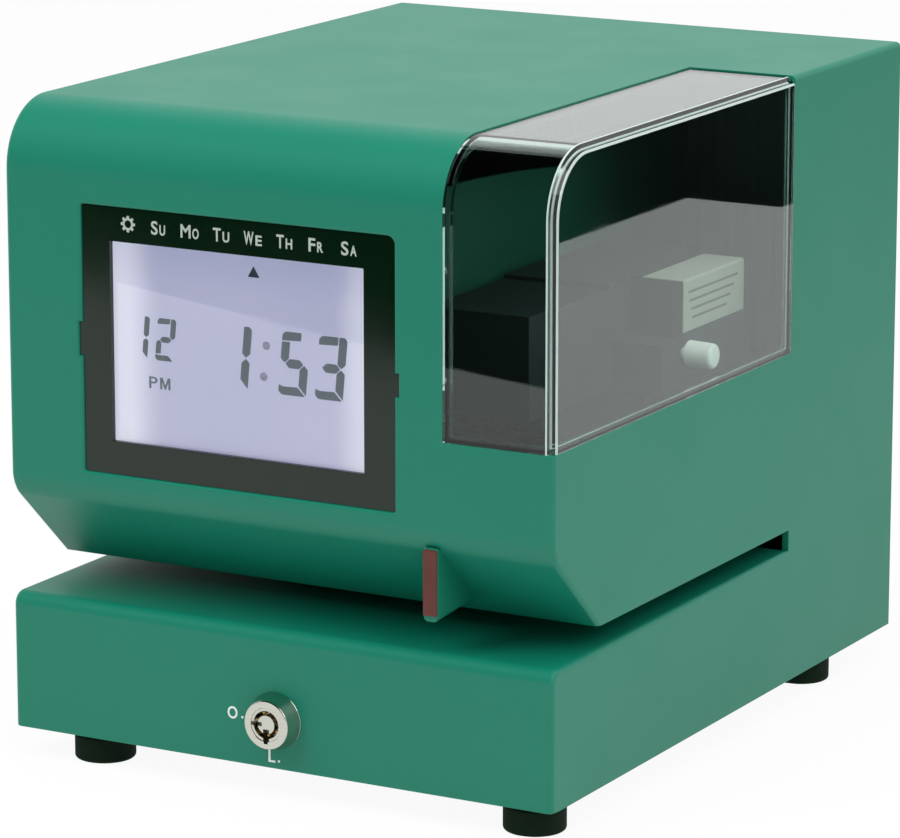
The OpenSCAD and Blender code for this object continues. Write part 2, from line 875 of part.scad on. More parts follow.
module right_frame() {
  x0 = frame_x - frame_t;
  color("#8d938f") difference() {
    frame_plate(x0, tray_front, tray_z, frame_x - flange_w);
    bar_screw_holes(x0 - over, frame_x + over);
    rod_x(shaft_dia + 2 * fit, x0 - over, frame_x + over, shaft_in, shaft_z);
    motor_screw_holes(x0 - over, frame_x + over);
  }
}

module tie_bars() {
  bite = 8;
  left = -frame_x + frame_t;
  right = frame_x - frame_t;
  color("#b4b8b4") difference() {
    for (bar = bars) rod_x(bar_dia, left, right, bar[0], bar[1]);
    bar_screw_holes(left - over, left + bite);
    bar_screw_holes(right - bite, right + over);
  }
}

module bar_screws() {
  bite = 7;
  length = frame_t + bite;
  color("silver") for (bar = bars, side = [-1, 1]) {
    outer = side * frame_x;
    rod_x(bar_dia, min(outer, outer + side * screw_head_h), max(outer, outer + side * screw_head_h),
      bar[0], bar[1]);
    rod_x(bar_screw_dia, min(outer, outer - side * length), max(outer, outer - side * length),
      bar[0], bar[1]);
  }
}

bush_neck_dia = bush_dia - 5;

module rear_panel() {
  panel_r = 4;
  vent_w = 50;
  vent_h = 3;
  vent_pitch = 8;
  vents = 9;
  vent_z = head_floor + 60;
  color("#8f9692") difference() {
    front_prism(panel_front, panel_back)
      panel(-plate_half_w, plate_half_w, plate_low, in_top - 4 * slip, 0, 0, panel_r, panel_r);
    rear_screw_holes();
    rod_y(bush_neck_dia + 2 * slip, panel_front - over, panel_back + over, bush_x, bush_z);
    for (i = [0 : vents - 1])
      block(-half_w / 2 - vent_w / 2, -half_w / 2 + vent_w / 2, panel_front - over, panel_back + over,
        vent_z + i * vent_pitch, vent_z + i * vent_pitch + vent_h);
  }
}

module rear_screws() {
  color("silver") for (x = flange_xs, z = rear_screw_zs) {
    rod_y(screw_head_dia, panel_back, panel_back + screw_head_h, x, z);
    rod_y(screw_dia, panel_front - frame_t, panel_back + seat, x, z);
  }
}

module cord_bush() {
  flange_t = 2.5;
  lip_t = 2;
  color("#202322") difference() {
    union() {
      rod_y(bush_dia, panel_back, panel_back + flange_t, bush_x, bush_z);
      rod_y(bush_neck_dia, panel_front - lip_t, panel_back + flange_t, bush_x, bush_z);
      rod_y(bush_dia - 2, panel_front - lip_t, panel_front, bush_x, bush_z);
    }
    rod_y(bush_bore, panel_front - lip_t - over, panel_back + flange_t + over, bush_x, bush_z);
  }
}

// Two posts stand before the cam. It passes between them pointing down, and turns behind the left one
module cam_keeper() {
  inner = cam_w / 2 + 2.3;
  outer = cam_len + 4;
  foot_d = 10;
  color("#9aa09b") for (side = [-1, 1]) {
    x0 = side < 0 ? -outer : inner;
    block(x0, x0 + outer - inner, keeper_front, keeper_front + keeper_t, plate_top, lock_z + 6.5);
    block(x0, x0 + outer - inner, keeper_front, keeper_front + foot_d, plate_top, plate_top + 1.5);
  }
}

module display_bracket() {
  bracket_r = 3;
  color("#959b97") front_prism(bracket_front, frame_front)
    panel(-frame_x, mid_x + frame_t, bezel_z0 - 2, bezel_z1 + 2, bracket_r, bracket_r, bracket_r,
      bracket_r);
}

module display_board() {
  inset = 2;
  color("#2d6b3c") front_prism(board_front, bracket_front)
    panel(bezel_x0 + inset, bezel_x1 - inset, bezel_z0 + inset, bezel_z1 - inset);
}

module display_backlight() {
  color("#d7d9e6") front_prism(backlight_front, board_front) view_outline(view_margin + 2);
}

module display_glass() {
  color("#b9bcd6") front_prism(glass_front, backlight_front) view_outline(view_margin);
}

spacer_depths = [board_depths[0] + board_hole_in, board_depths[1] - board_hole_in];
spacer_zs = [board_zs[0] + board_hole_in, board_zs[1] - board_hole_in];

// Chips on the main board as depth, level, length and height
chips = [[22, 14, 30, 12], [64, 14, 14, 14], [92, 14, 34, 8], [60, 44, 18, 18], [96, 40, 26, 10]];
chip_t = 4;

module main_board() {
  inner = board_x0 + board_t;
  color("#2f6d44") difference() {
    union() {
      side_prism(board_x0, inner) panel(board_depths[0], board_depths[1], board_zs[0], board_zs[1]);
      for (chip = chips)
        block(inner - fit, inner + chip_t, board_depths[0] + chip[0], board_depths[0] + chip[0] + chip[2],
          board_zs[0] + chip[1], board_zs[0] + chip[1] + chip[3]);
    }
    for (depth = spacer_depths, z = spacer_zs) rod_x(screw_dia + 2 * fit, board_x0 - over,
      inner + over, depth, z);
  }
}

// Each spacer has a stud at both ends, through the frame and through the board
module board_spacers() {
  color("#c2b36a") for (depth = spacer_depths, z = spacer_zs) {
    rod_x(spacer_dia, -frame_x + frame_t, board_x0, depth, z);
    rod_x(screw_dia, -frame_x, board_x0 + board_t, depth, z);
  }
}

module backup_cell() {
  inner = board_x0 + board_t;
  color("#c5c7c6") rod_x(cell_dia, inner, inner + cell_t, board_depths[0] + 30, board_zs[0] + 50);
}

module transformer_core() {
  window_z = plate_top + (core_h - core_window_h) / 2;
  color("#565b5e") front_prism(core_in - core_d / 2, core_in + core_d / 2) difference() {
    panel(core_x - core_w / 2, core_x + core_w / 2, plate_top, plate_top + core_h);
    panel(core_x - limb_w / 2 - core_window_w, core_x - limb_w / 2, window_z, window_z + core_window_h);
    panel(core_x + limb_w / 2, core_x + limb_w / 2 + core_window_w, window_z, window_z + core_window_h);
  }
}

module transformer_coil() {
  window_z = plate_top + (core_h - core_window_h) / 2;
  half_x = limb_w / 2 + core_window_w - seat;
  half_d = core_d / 2 + coil_over;
  hole_x = limb_w / 2 + fit;
  hole_d = core_d / 2 + fit;
  color("#b07a35") difference() {
    block(core_x - half_x, core_x + half_x, core_in - half_d, core_in + half_d,
      window_z + fit, window_z + core_window_h - fit);
    block(core_x - hole_x, core_x + hole_x, core_in - hole_d, core_in + hole_d,
      window_z - over, window_z + core_window_h + over);
  }
}

// Depth and level of the motor's two lugs: one behind it and one above it
motor_lugs = [[pinion_in + motor_screw_reach, shaft_z], [pinion_in, shaft_z + motor_screw_reach]];

module motor_screw_holes(x0, x1) {
  for (lug = motor_lugs) rod_x(screw_dia + 2 * fit, x0, x1, lug[0], lug[1]);
}

module drive_motor() {
  boss_dia = 12;
  bore_depth = 8;
  lug_r = 6;
  flange_reach = motor_screw_reach + lug_r;
  color("#a7abaa") difference() {
    union() {
      rod_x(motor_dia, motor_x0, motor_x1, pinion_in, shaft_z);
      rod_x(boss_dia, motor_boss_x0, motor_x0 + over, pinion_in, shaft_z);
      side_prism(motor_x1 - motor_flange_t, motor_x1) {
        panel(pinion_in, pinion_in + flange_reach, shaft_z - lug_r, shaft_z + lug_r, br = lug_r - 1,
          tr = lug_r - 1);
        panel(pinion_in - lug_r, pinion_in + lug_r, shaft_z, shaft_z + flange_reach, tr = lug_r - 1,
          tl = lug_r - 1);
      }
    }
    rod_x(pinion_shaft_dia + 2 * fit, motor_boss_x0 - over, motor_x0 + bore_depth, pinion_in, shaft_z);
    motor_screw_holes(motor_x1 - motor_flange_t - over, motor_x1 + over);
  }
}

module motor_screws() {
  inner = motor_x1 - motor_flange_t;
  color("silver") for (lug = motor_lugs) {
    rod_x(screw_head_dia, inner - screw_head_h, inner, lug[0], lug[1]);
    rod_x(screw_dia, inner - seat, frame_x, lug[0], lug[1]);
  }
}

module drive_pinion() {
  shaft_end = motor_x0 + 7;
  color("#d8d3c2") {
    side_prism(gear_x0, gear_x1) translate([pinion_in, shaft_z]) rotate(180 / pinion_teeth)
      polygon(gear_outline(pinion_teeth));
    rod_x(pinion_shaft_dia, gear_x0 - over, shaft_end, pinion_in, shaft_z);
  }
}

module type_shaft() {
  overhang = 2;
  color("#c3c6c5") rod_x(shaft_dia, mid_x - overhang, frame_x + overhang, shaft_in, shaft_z);
}

module shaft_ring(dia, x0, x1) {
  difference() {
    rod_x(dia, x0, x1, shaft_in, shaft_z);
    rod_x(shaft_dia + 2 * fit, x0 - over, x1 + over, shaft_in, shaft_z);
  }
}

module shaft_sleeves() {
  sleeve_dia = shaft_dia + 4;
  color("#dcdad0") {
    shaft_ring(sleeve_dia, mid_x + frame_t, date_x0 - wheel_gap);
    shaft_ring(sleeve_dia, gear_x1 + wheel_gap, frame_x - frame_t);
  }
}

module shaft_clips() {
  clip_t = 0.8;
  clip_dia = shaft_dia + 5;
  color("#3a3d3c") {
    shaft_ring(clip_dia, mid_x - clip_t, mid_x);
    shaft_ring(clip_dia, frame_x, frame_x + clip_t);
  }
}

// A wheel with raised type round its rim
module type_wheel(x0, types) {
  rim_r = wheel_dia / 2 - type_h;
  type_w = 0.62 * 2 * PI * rim_r / types;
  side_gap = 0.8;
  rod_x(2 * rim_r, x0, x0 + wheel_w, shaft_in, shaft_z);
  for (i = [0 : types - 1])
    translate([x0 + side_gap, at(shaft_in), shaft_z]) rotate([360 * i / types, 0, 0])
      translate([0, -type_w / 2, rim_r - over]) cube([wheel_w - 2 * side_gap, type_w, type_h + over]);
}

module shaft_bore(x0, x1) {
  rod_x(shaft_dia + 2 * fit, x0 - over, x1 + over, shaft_in, shaft_z);
}

module minute_wheel() {
  color("#d9d4c6") difference() {
    union() {
      type_wheel(minute_x0, 60);
      rod_x(hub_dia, minute_x0 + wheel_w - over, gear_x0 + over, shaft_in, shaft_z);
      side_prism(gear_x0, gear_x1) translate([shaft_in, shaft_z]) polygon(gear_outline(gear_teeth));
    }
    shaft_bore(minute_x0, gear_x1);
  }
}

module hour_wheel() {
  color("#d9d4c6") difference() {
    type_wheel(hour_x0, 24);
    shaft_bore(hour_x0, hour_x0 + wheel_w);
  }
}

module date_wheel() {
  color("#d9d4c6") difference() {
    type_wheel(date_x0, 31);
    shaft_bore(date_x0, date_x0 + wheel_w);
  }
}

// The ribbon hangs from the cassette in a loop round its two guides, under the type wheels
module ribbon() {
  inner_r = guide_dia / 2;
  outer_r = inner_r + ribbon_t;
  front = shaft_in - ribbon_reach;
  back = shaft_in + ribbon_reach;
  color("#2b2540") side_prism(print_x - ribbon_half_w, print_x + ribbon_half_w) difference() {
    panel(front, back, ribbon_z, cassette_z, bl = outer_r, br = outer_r);
    panel(front + ribbon_t, back - ribbon_t, ribbon_z + ribbon_t, cassette_z + over, bl = inner_r,
      br = inner_r);
  }
}

module ribbon_guides() {
  guide_in = ribbon_reach - ribbon_t - guide_dia / 2;
  color("#c6c9c7") for (side = [-1, 1])
    rod_x(guide_dia - 2 * fit, mid_x + frame_t, print_x + ribbon_half_w + over,
      shaft_in + side * guide_in, guide_z);
}

module hammer_bracket() {
  foot_reach = 8;
  ear_half_d = 6;
  ear_r = 5;
  outer = ear_x + ear_t;
  color("#979d99") difference() {
    union() {
      block(print_x - outer, print_x + outer, pivot_in - foot_reach, pivot_in + foot_reach,
        plate_top, plate_top + ear_t);
      for (x0 = [print_x - outer, print_x + ear_x])
        side_prism(x0, x0 + ear_t)
          panel(pivot_in - ear_half_d, pivot_in + ear_half_d, plate_top, pivot_z + ear_r, tr = ear_r,
            tl = ear_r);
    }
    rod_x(pin_dia + 2 * fit, print_x - outer - over, print_x + outer + over, pivot_in, pivot_z);
  }
}

module hammer_pin() {
  reach = ear_x + ear_t + 1.5;
  color("#c3c6c5") rod_x(pin_dia, print_x - reach, print_x + reach, pivot_in, pivot_z);
}

module hammer() {
  arm_half_w = 2;
  head_h = 6;
  tail_half_w = 6.5;
  slot_half_w = neck_dia / 2 + 0.6;
  head_low = head_top - head_h;
  head_face = head_top - pad_t;
  color("#7d8380") difference() {
    union() {
      rod_x(2 * hub_r, print_x - ear_x + seat, print_x + ear_x - seat, pivot_in, pivot_z);
      side_prism(print_x - arm_half_w, print_x + arm_half_w) polygon([
        [pivot_in, pivot_z - hub_r + over], [shaft_in, head_low], [shaft_in, head_face], [pivot_in,
          pivot_z + hub_r - over]
      ]);
      block(print_x - hammer_half_w, print_x + hammer_half_w, shaft_in - hammer_head_d / 2,
        shaft_in + hammer_head_d / 2, head_low, head_face);
      difference() {
        block(print_x - tail_half_w, print_x + tail_half_w, pivot_in, plunger_in + neck_dia,
          tail_top - tail_t, tail_top);
        block(print_x - slot_half_w, print_x + slot_half_w, plunger_in - neck_dia / 2 - over,
          plunger_in + neck_dia + over, tail_top - tail_t - over, tail_top + over);
      }
    }
    rod_x(pin_dia + 2 * fit, print_x - ear_x, print_x + ear_x, pivot_in, pivot_z);
  }
}

module hammer_pad() {
  inset = 0.5;
  color("#242424") block(print_x - hammer_half_w + inset, print_x + hammer_half_w - inset,
    shaft_in - hammer_head_d / 2 + inset, shaft_in + hammer_head_d / 2 - inset, head_top - pad_t,
      head_top);
}

yoke_t = 2;

module plunger_bore() {
  rod_z(plunger_dia + 2 * fit, plate_top - over, yoke_top + over, print_x, plunger_in);
}

module solenoid_yoke() {
  half_d = yoke_half * 0.7;
  color("#8c9290") difference() {
    block(print_x - yoke_half, print_x + yoke_half, plunger_in - half_d, plunger_in + half_d,
      plate_top, yoke_top);
    block(print_x - yoke_half + yoke_t, print_x + yoke_half - yoke_t, plunger_in - half_d - over,
      plunger_in + half_d + over, plate_top + yoke_t, yoke_top - yoke_t);
    plunger_bore();
  }
}

module solenoid_coil() {
  color("#9c5a2b") difference() {
    rod_z(coil_dia, plate_top + yoke_t, yoke_top - yoke_t, print_x, plunger_in);
    plunger_bore();
  }
}

module plunger() {
  shoulder = yoke_top + 1;
  pin_half = 5.5;
  color("#c9ccca") {
    rod_z(plunger_dia, plate_top + stroke_room, shoulder, print_x, plunger_in);
    rod_z(neck_dia, shoulder - over, cross_pin_z + cross_pin_dia, print_x, plunger_in);
    rod_x(cross_pin_dia, print_x - pin_half, print_x + pin_half, plunger_in, cross_pin_z);
  }
}

trigger_ear_x = trigger_w / 2 + 2.5;

module card_stop() {
  finger_room = 1.5;
  comb_w = 3;
  comb_pitch = 9;
  combs = 4;
  color("#8a908d") difference() {
    front_prism(column_front - stop_t, column_front) panel(-frame_x, frame_x, notch_low, notch_high);
    block(trigger_x - trigger_w / 2 - finger_room, trigger_x + trigger_w / 2 + finger_room,
      column_front - stop_t - over, column_front + over, finger_low - finger_room, head_z);
    for (side = [-1, 1], i = [1 : combs])
      block(side * (frame_x - i * comb_pitch) - comb_w / 2,
        side * (frame_x - i * comb_pitch) + comb_w / 2,
        column_front - stop_t - over, column_front + over, floor_z, head_z);
  }
}

module trigger_bracket() {
  low = trigger_pivot_z - 8;
  back = switch_front + switch_d;
  color("#979d99") difference() {
    union() {
      for (x0 = [trigger_x - trigger_ear_x - trigger_ear_t, trigger_x + trigger_ear_x])
        side_prism(x0, x0 + trigger_ear_t) panel(column_front, back, low, head_z, tr = frame_r);
      block(trigger_x - trigger_ear_x - trigger_ear_t, trigger_x + trigger_ear_x + trigger_ear_t,
        column_front, back, low, low + trigger_ear_t);
    }
    rod_x(pin_dia + 2 * fit, trigger_x - 3 * trigger_ear_x, trigger_x + 3 * trigger_ear_x,
      trigger_pivot_in, trigger_pivot_z);
  }
}

module trigger_pin() {
  reach = trigger_ear_x + trigger_ear_t + over;
  color("#c3c6c5") rod_x(pin_dia, trigger_x - reach, trigger_x + reach, trigger_pivot_in,
    trigger_pivot_z);
}

module trigger_lever() {
  arm_front = column_front + 0.4;
  arm_back = arm_front + 4;
  color("#c9c6b8") difference() {
    union() {
      side_prism(trigger_x - trigger_w / 2, trigger_x + trigger_w / 2) {
        panel(arm_front, arm_back, trigger_pivot_z, finger_top);
        panel(finger_front, arm_back, finger_low, finger_top);
      }
      rod_x(2 * hub_r, trigger_x - trigger_ear_x + seat, trigger_x + trigger_ear_x - seat,
        trigger_pivot_in, trigger_pivot_z);
    }
    rod_x(pin_dia + 2 * fit, trigger_x - trigger_ear_x, trigger_x + trigger_ear_x, trigger_pivot_in,
      trigger_pivot_z);
  }
}

module trigger_switch() {
  low = trigger_pivot_z + 3;
  button_len = 3.4;
  button_half = 1.5;
  button_z = trigger_pivot_z + 9.5;
  color("#2a2c2b") {
    block(trigger_x - trigger_ear_x, trigger_x + trigger_ear_x, switch_front,
      switch_front + switch_d, low, low + switch_h);
    block(trigger_x - button_half, trigger_x + button_half, switch_front - button_len,
      switch_front + over,
      button_z - button_half, button_z + button_half);
  }
}

module cassette_tray() {
  slot_play = 1.2;
  color("#9aa09c") difference() {
    plan_prism(tray_z, tray_z + tray_t) panel(mid_x + frame_t, frame_x, tray_front, tray_back);
    for (side = [-1, 1])
      block(print_x - ribbon_half_w - slot_play, print_x + ribbon_half_w + slot_play,
        shaft_in + side * (ribbon_reach - ribbon_t / 2) - slot_play,
        shaft_in + side * (ribbon_reach - ribbon_t / 2) + slot_play, tray_z - over,
          tray_z + tray_t + over);
  }
}

module ribbon_cassette() {
  foot_h_right = 18;
  foot_lead = 18;
  tail_room = 2;
  color("#4c5653") difference() {
    union() {
      block(cassette_x0, cassette_mid_x, cassette_front, cassette_back, cassette_z,
        cassette_z + cassette_h);
      block(cassette_x0, cassette_mid_x, raise_front, cassette_back, cassette_z, label_top);
      block(cassette_mid_x - over, cassette_x1, label_front, label_back + tail_room, cassette_z,
        label_top);
      block(cassette_mid_x - over, cassette_x1, label_front - foot_lead, label_back + tail_room,
        cassette_z, cassette_z + foot_h_right);
    }
    rod_x(knob_shaft_dia + 2 * fit, cassette_x1 - knob_shaft_len - over, cassette_x1 + over, knob_in,
      knob_z);
  }
}

module cassette_label() {
  top_inset = 2;
  end_inset = 0.5;
  color("#d8d5c8") {
    block(cassette_mid_x + top_inset, cassette_x1 + label_t, label_front + end_inset,
      label_back - end_inset,
      label_top, label_top + label_t);
    block(cassette_x1, cassette_x1 + label_t, label_front + end_inset, label_back - end_inset,
      label_low, label_top);
  }
}

module ribbon_knob() {
  knob_x0 = cassette_x1 + 0.6;
  tip_taper = 0.8;
  color("#e4e4de") {
    translate([knob_x0, at(knob_in), knob_z]) rotate([0, 90, 0])
      cylinder(d1 = knob_dia, d2 = knob_dia - tip_taper, h = knob_len);
    rod_x(knob_shaft_dia, cassette_x1 - knob_shaft_len, knob_x0 + over, knob_in, knob_z);
  }
}

case_shell();
clear_window();
window_screws();
display_bezel();
display_lens();
pointer_strip();
lock_body();
lock_nut();
lock_plug();
lock_cam();
cam_screw();
base_plate();
left_frame();
mid_frame();
right_frame();
tie_bars();
bar_screws();
base_screws();
rear_panel();
rear_screws();
cord_bush();
rubber_feet();
foot_screws();
cam_keeper();
display_bracket();
display_board();
display_backlight();
display_glass();
main_board();
board_spacers();
backup_cell();
transformer_core();
transformer_coil();
drive_motor();
motor_screws();
drive_pinion();
type_shaft();
shaft_sleeves();
shaft_clips();
minute_wheel();
hour_wheel();
date_wheel();
ribbon();
ribbon_guides();
hammer_bracket();
hammer_pin();
hammer();
hammer_pad();
solenoid_yoke();
solenoid_coil();
plunger();
card_stop();
trigger_bracket();
trigger_pin();
trigger_lever();
trigger_switch();
cassette_tray();
ribbon_cassette();
cassette_label();
ribbon_knob();
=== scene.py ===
"""The looks of a desk time clock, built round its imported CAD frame.

The green case, its clear corner window, the display, the lock and the cassette behind the window are
modelled here. The works on the chassis keep their CAD shapes and get their finishes here.
"""

from __future__ import annotations

import logging
import math
from collections.abc import Callable, Iterable, Iterator, Sequence
from contextlib import contextmanager
from dataclasses import dataclass
from enum import Enum
from typing import Any

import bpy
from mathutils import Matrix, Vector

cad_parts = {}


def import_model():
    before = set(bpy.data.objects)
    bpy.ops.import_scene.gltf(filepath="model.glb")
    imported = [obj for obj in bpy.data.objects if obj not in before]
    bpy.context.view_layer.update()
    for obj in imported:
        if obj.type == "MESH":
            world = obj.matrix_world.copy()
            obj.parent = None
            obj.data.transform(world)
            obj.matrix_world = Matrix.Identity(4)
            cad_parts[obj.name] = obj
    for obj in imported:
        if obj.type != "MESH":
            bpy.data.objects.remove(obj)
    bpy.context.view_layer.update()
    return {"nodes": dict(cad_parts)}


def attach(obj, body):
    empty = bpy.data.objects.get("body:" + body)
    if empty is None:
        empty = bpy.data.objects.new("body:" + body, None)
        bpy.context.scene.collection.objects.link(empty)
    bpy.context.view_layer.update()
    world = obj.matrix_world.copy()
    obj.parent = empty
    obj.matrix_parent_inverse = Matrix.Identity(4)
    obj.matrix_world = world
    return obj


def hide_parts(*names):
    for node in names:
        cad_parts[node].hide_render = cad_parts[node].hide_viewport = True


LOG = logging.getLogger("time_clock")
MM = 0.001
# y of the case's front in mm.
FRONT_Y = -134.75
# Places that differ by less, in mm, are the same.
SAME = 0.01
# Places that differ by less, in mm, are near each other.
NEAR = 0.1
# How far two solids reach into each other so that they weld or cut cleanly, in mm.
LAP = 0.1
# How far a cutter or a strip reaches past an edge, in mm.
OVER = 5.0
# Height of a capital as a share of the built-in font's size.
CAP_SHARE = 0.69
# A wave texture of scale 1 has a band every pi / 10.
WAVE_SCALE = math.pi / 10

Piece = bpy.types.Object
Tree = bpy.types.NodeTree
Node = bpy.types.Node
Socket = bpy.types.NodeSocket
Pair = tuple[float, float]
EdgeTest = Callable[[Vector, Vector], bool]


class Axis(Enum):
    """The row axes, as unit vectors."""

    X = (1.0, 0.0, 0.0)
    Y = (0.0, 1.0, 0.0)
    Z = (0.0, 0.0, 1.0)


class Body(Enum):
    """The CAD bodies that new pieces ride on."""

    CHASSIS = "chassis"
    CASE = "case"
    LOCK = "lock_plug"
    KNOB = "ribbon_knob"


def at(x: float, depth: float, z: float) -> Vector:
    """Turn a place on the clock into the row frame.

    Args:
        x: Distance to the right of the middle, in mm.
        depth: Distance behind the front of the case, in mm.
        z: Height above the table, in mm.

    Returns:
        The same place in metres.
    """
    return Vector((x, FRONT_Y + depth, z)) * MM


def place_of(point: Vector) -> Vector:
    """Turn a point of the row frame into x, depth and height, in mm."""
    return Vector((point.x / MM, point.y / MM - FRONT_Y, point.z / MM))


# Modelling by hand: each function does what one or two tools of the modeller do.


def clear_selection() -> None:
    """Leave edit mode and deselect everything."""
    if bpy.context.object and bpy.context.object.mode != "OBJECT":
        bpy.ops.object.mode_set(mode="OBJECT")
    bpy.ops.object.select_all(action="DESELECT")


def activate(piece: Piece) -> None:
    """Make a piece the one selected object.

    Args:
        piece: The piece.
    """
    clear_selection()
    piece.select_set(True)
    bpy.context.view_layer.objects.active = piece


def settle(name: str) -> Piece:
    """Name the new object and apply its place to its mesh.

    Args:
        name: Its name.

    Returns:
        The new object.
    """
    piece = bpy.context.object
    piece.name = piece.data.name = name
    bpy.ops.object.transform_apply(location=True, rotation=True, scale=True)
    return piece


@contextmanager
def editing(piece: Piece, kind: str = "FACE", everything: bool = True) -> Iterator[None]:
    """Hold a piece in edit mode.

    Args:
        piece: The mesh to edit.
        kind: VERT, EDGE or FACE, the kind of element in use.
        everything: Whether all of it is selected, or what is already marked.
    """
    activate(piece)
    bpy.ops.object.mode_set(mode="EDIT")
    bpy.ops.mesh.select_mode(type=kind)
    if everything:
        bpy.ops.mesh.select_all(action="SELECT")
    try:
        yield
    finally:
        bpy.ops.object.mode_set(mode="OBJECT")


def finish_mesh(piece: Piece) -> None:
    """Merge doubles and turn the faces outwards.

    Args:
        piece: The mesh.
    """
    with editing(piece):
        bpy.ops.mesh.remove_doubles(threshold=1e-6)
        bpy.ops.mesh.normals_make_consistent(inside=False)


def box(name: str, low: Vector, high: Vector) -> Piece:
    """Add a cube between two corners in metres.

    Args:
        name: Name of the new piece.
        low: Its lowest corner.
        high: Its highest corner.

    Returns:
        The new piece.
    """
    clear_selection()
    bpy.ops.mesh.primitive_cube_add(size=1, location=(low + high) / 2, scale=high - low)
    return settle(name)


def chain(name: str, points: Sequence[Vector], close: bool) -> Piece:
    """Draw a line through points by extruding one vertex, as a modeller traces an outline.

    Args:
        name: Name of the new piece.
        points: The corners in order, in metres.
        close: Whether the outline is closed and filled with a face.

    Returns:
        The new piece.
    """
    clear_selection()
    bpy.ops.mesh.primitive_plane_add(size=0.01, location=points[0])
    piece = settle(name)
    with editing(piece, "VERT"):
        bpy.ops.mesh.merge(type="CENTER")
        for start, end in zip(points, points[1:]):
            bpy.ops.mesh.extrude_region_move(TRANSFORM_OT_translate={"value": end - start})
        if close:
            bpy.ops.mesh.select_all(action="SELECT")
            bpy.ops.mesh.edge_face_add()
    return piece


def prism(name: str, points: Sequence[Vector], run: Vector) -> Piece:
    """Fill an outline and extrude it.

    Args:
        name: Name of the new piece.
        points: The outline's corners in metres.
        run: The extrusion in metres.

    Returns:
        The new closed solid.
    """
    piece = chain(name, points, close=True)
    with editing(piece):
        bpy.ops.mesh.extrude_region_move(TRANSFORM_OT_translate={"value": run})
        bpy.ops.mesh.select_all(action="SELECT")
        bpy.ops.mesh.normals_make_consistent(inside=False)
    return piece


def front_plate(name: str, outline: Iterable[Pair], near: float, far: float) -> Piece:
    """Extrude an outline of x and height from one depth to another, in mm."""
    return prism(name, [at(x, near, z) for x, z in outline], Vector((0, (far - near) * MM, 0)))


def side_plate(name: str, outline: Iterable[Pair], left: float, right: float) -> Piece:
    """Extrude an outline of depth and height from one x to another, in mm."""
    return prism(name, [at(left, d, z) for d, z in outline], Vector(((right - left) * MM, 0, 0)))


def lathe(name: str, points: Sequence[Vector], centre: Vector, axis: Axis, steps: int) -> Piece:
    """Turn a profile round an axis.

    Args:
        name: Name of the new piece.
        points: The profile in metres. It starts and ends on the axis, or closes on itself.
        centre: A point on the axis.
        axis: The axis' direction.
        steps: Facets round the turn.

    Returns:
        The new closed solid.
    """
    piece = chain(name, points, close=False)
    with editing(piece, "VERT"):
        bpy.ops.mesh.spin(steps=steps, angle=math.tau, center=centre, axis=axis.value, use_auto_merge=True)
    finish_mesh(piece)
    return piece


def disc(name: str, centre: Pair, radius: float, near: float, far: float, steps: int = 24) -> Piece:
    """Turn a round plate about an axis that points to the front.

    Args:
        name: Name of the new piece.
        centre: x and height of its axis in mm, as all its sizes.
        radius: Its radius.
        near: Depth of its front.
        far: Depth of its back.
        steps: Facets round the turn.

    Returns:
        The new closed solid.
    """
    x, z = centre
    profile = [at(x, near, z), at(x + radius, near, z), at(x + radius, far, z), at(x, far, z)]
    return lathe(name, profile, at(x, 0, z), Axis.Y, steps)


def bevel(piece: Piece, test: EdgeTest, width: float, segments: int) -> None:
    """Round the edges whose two ends pass a test.

    Args:
        piece: The mesh.
        test: Takes both ends as x, depth and height in mm.
        width: Offset of the round from the edge, in mm.
        segments: Facets across the round.
    """
    mesh = piece.data
    for group in (mesh.polygons, mesh.edges, mesh.vertices):
        group.foreach_set("select", [False] * len(group))
    spots = [place_of(vertex.co) for vertex in mesh.vertices]
    for edge in mesh.edges:
        edge.select = test(*(spots[end] for end in edge.vertices))
    if any(edge.select for edge in mesh.edges):
        with editing(piece, "EDGE", everything=False):
            bpy.ops.mesh.bevel(offset=width * MM, segments=segments, profile=0.5, affect="EDGES")


def both(test: Callable[[Vector], bool]) -> EdgeTest:
    """Make an edge test that both ends have to pass."""
    return lambda *ends: all(test(end) for end in ends)


def across_at(depth: float, z: float) -> EdgeTest:
    """Make the test for the edge along x at a depth and a height in mm."""
    return both(lambda p: abs(p.y - depth) + abs(p.z - z) < NEAR)


def along_depth(start: Vector, end: Vector) -> bool:
    """Tell whether an edge runs straight back."""
    return abs(start.x - end.x) + abs(start.z - end.z) < SAME


def modify(piece: Piece, kind: str, **settings: Any) -> None:
    """Add a modifier with its settings and apply it.

    Args:
        piece: The piece.
        kind: The modifier's type.
        settings: Its own properties.
    """
    activate(piece)
    modifier = piece.modifiers.new(kind.lower(), kind)
    for key, value in settings.items():
        setattr(modifier, key, value)
    bpy.ops.object.modifier_apply(modifier=modifier.name)


def soften(piece: Piece, width: float, segments: int) -> None:
    """Round every sharp edge by a width in mm."""
    modify(piece, "BEVEL", width=width * MM, segments=segments, limit_method="ANGLE",
           angle_limit=math.radians(40), use_clamp_overlap=True, miter_outer="MITER_ARC")


def combine(piece: Piece, operation: str, others: Iterable[Piece]) -> None:
    """Take solids into a piece, each by a boolean operation, and remove them.

    Args:
        piece: The piece that stays.
        operation: DIFFERENCE or UNION.
        others: The solids.
    """
    for other in others:
        modify(piece, "BOOLEAN", operation=operation, solver="EXACT", object=other)
        bpy.data.objects.remove(other)


def cut(piece: Piece, *others: Piece) -> None:
    """Cut solids out of a piece."""
    combine(piece, "DIFFERENCE", others)


def weld(piece: Piece, *others: Piece) -> None:
    """Weld solids to a piece."""
    combine(piece, "UNION", others)


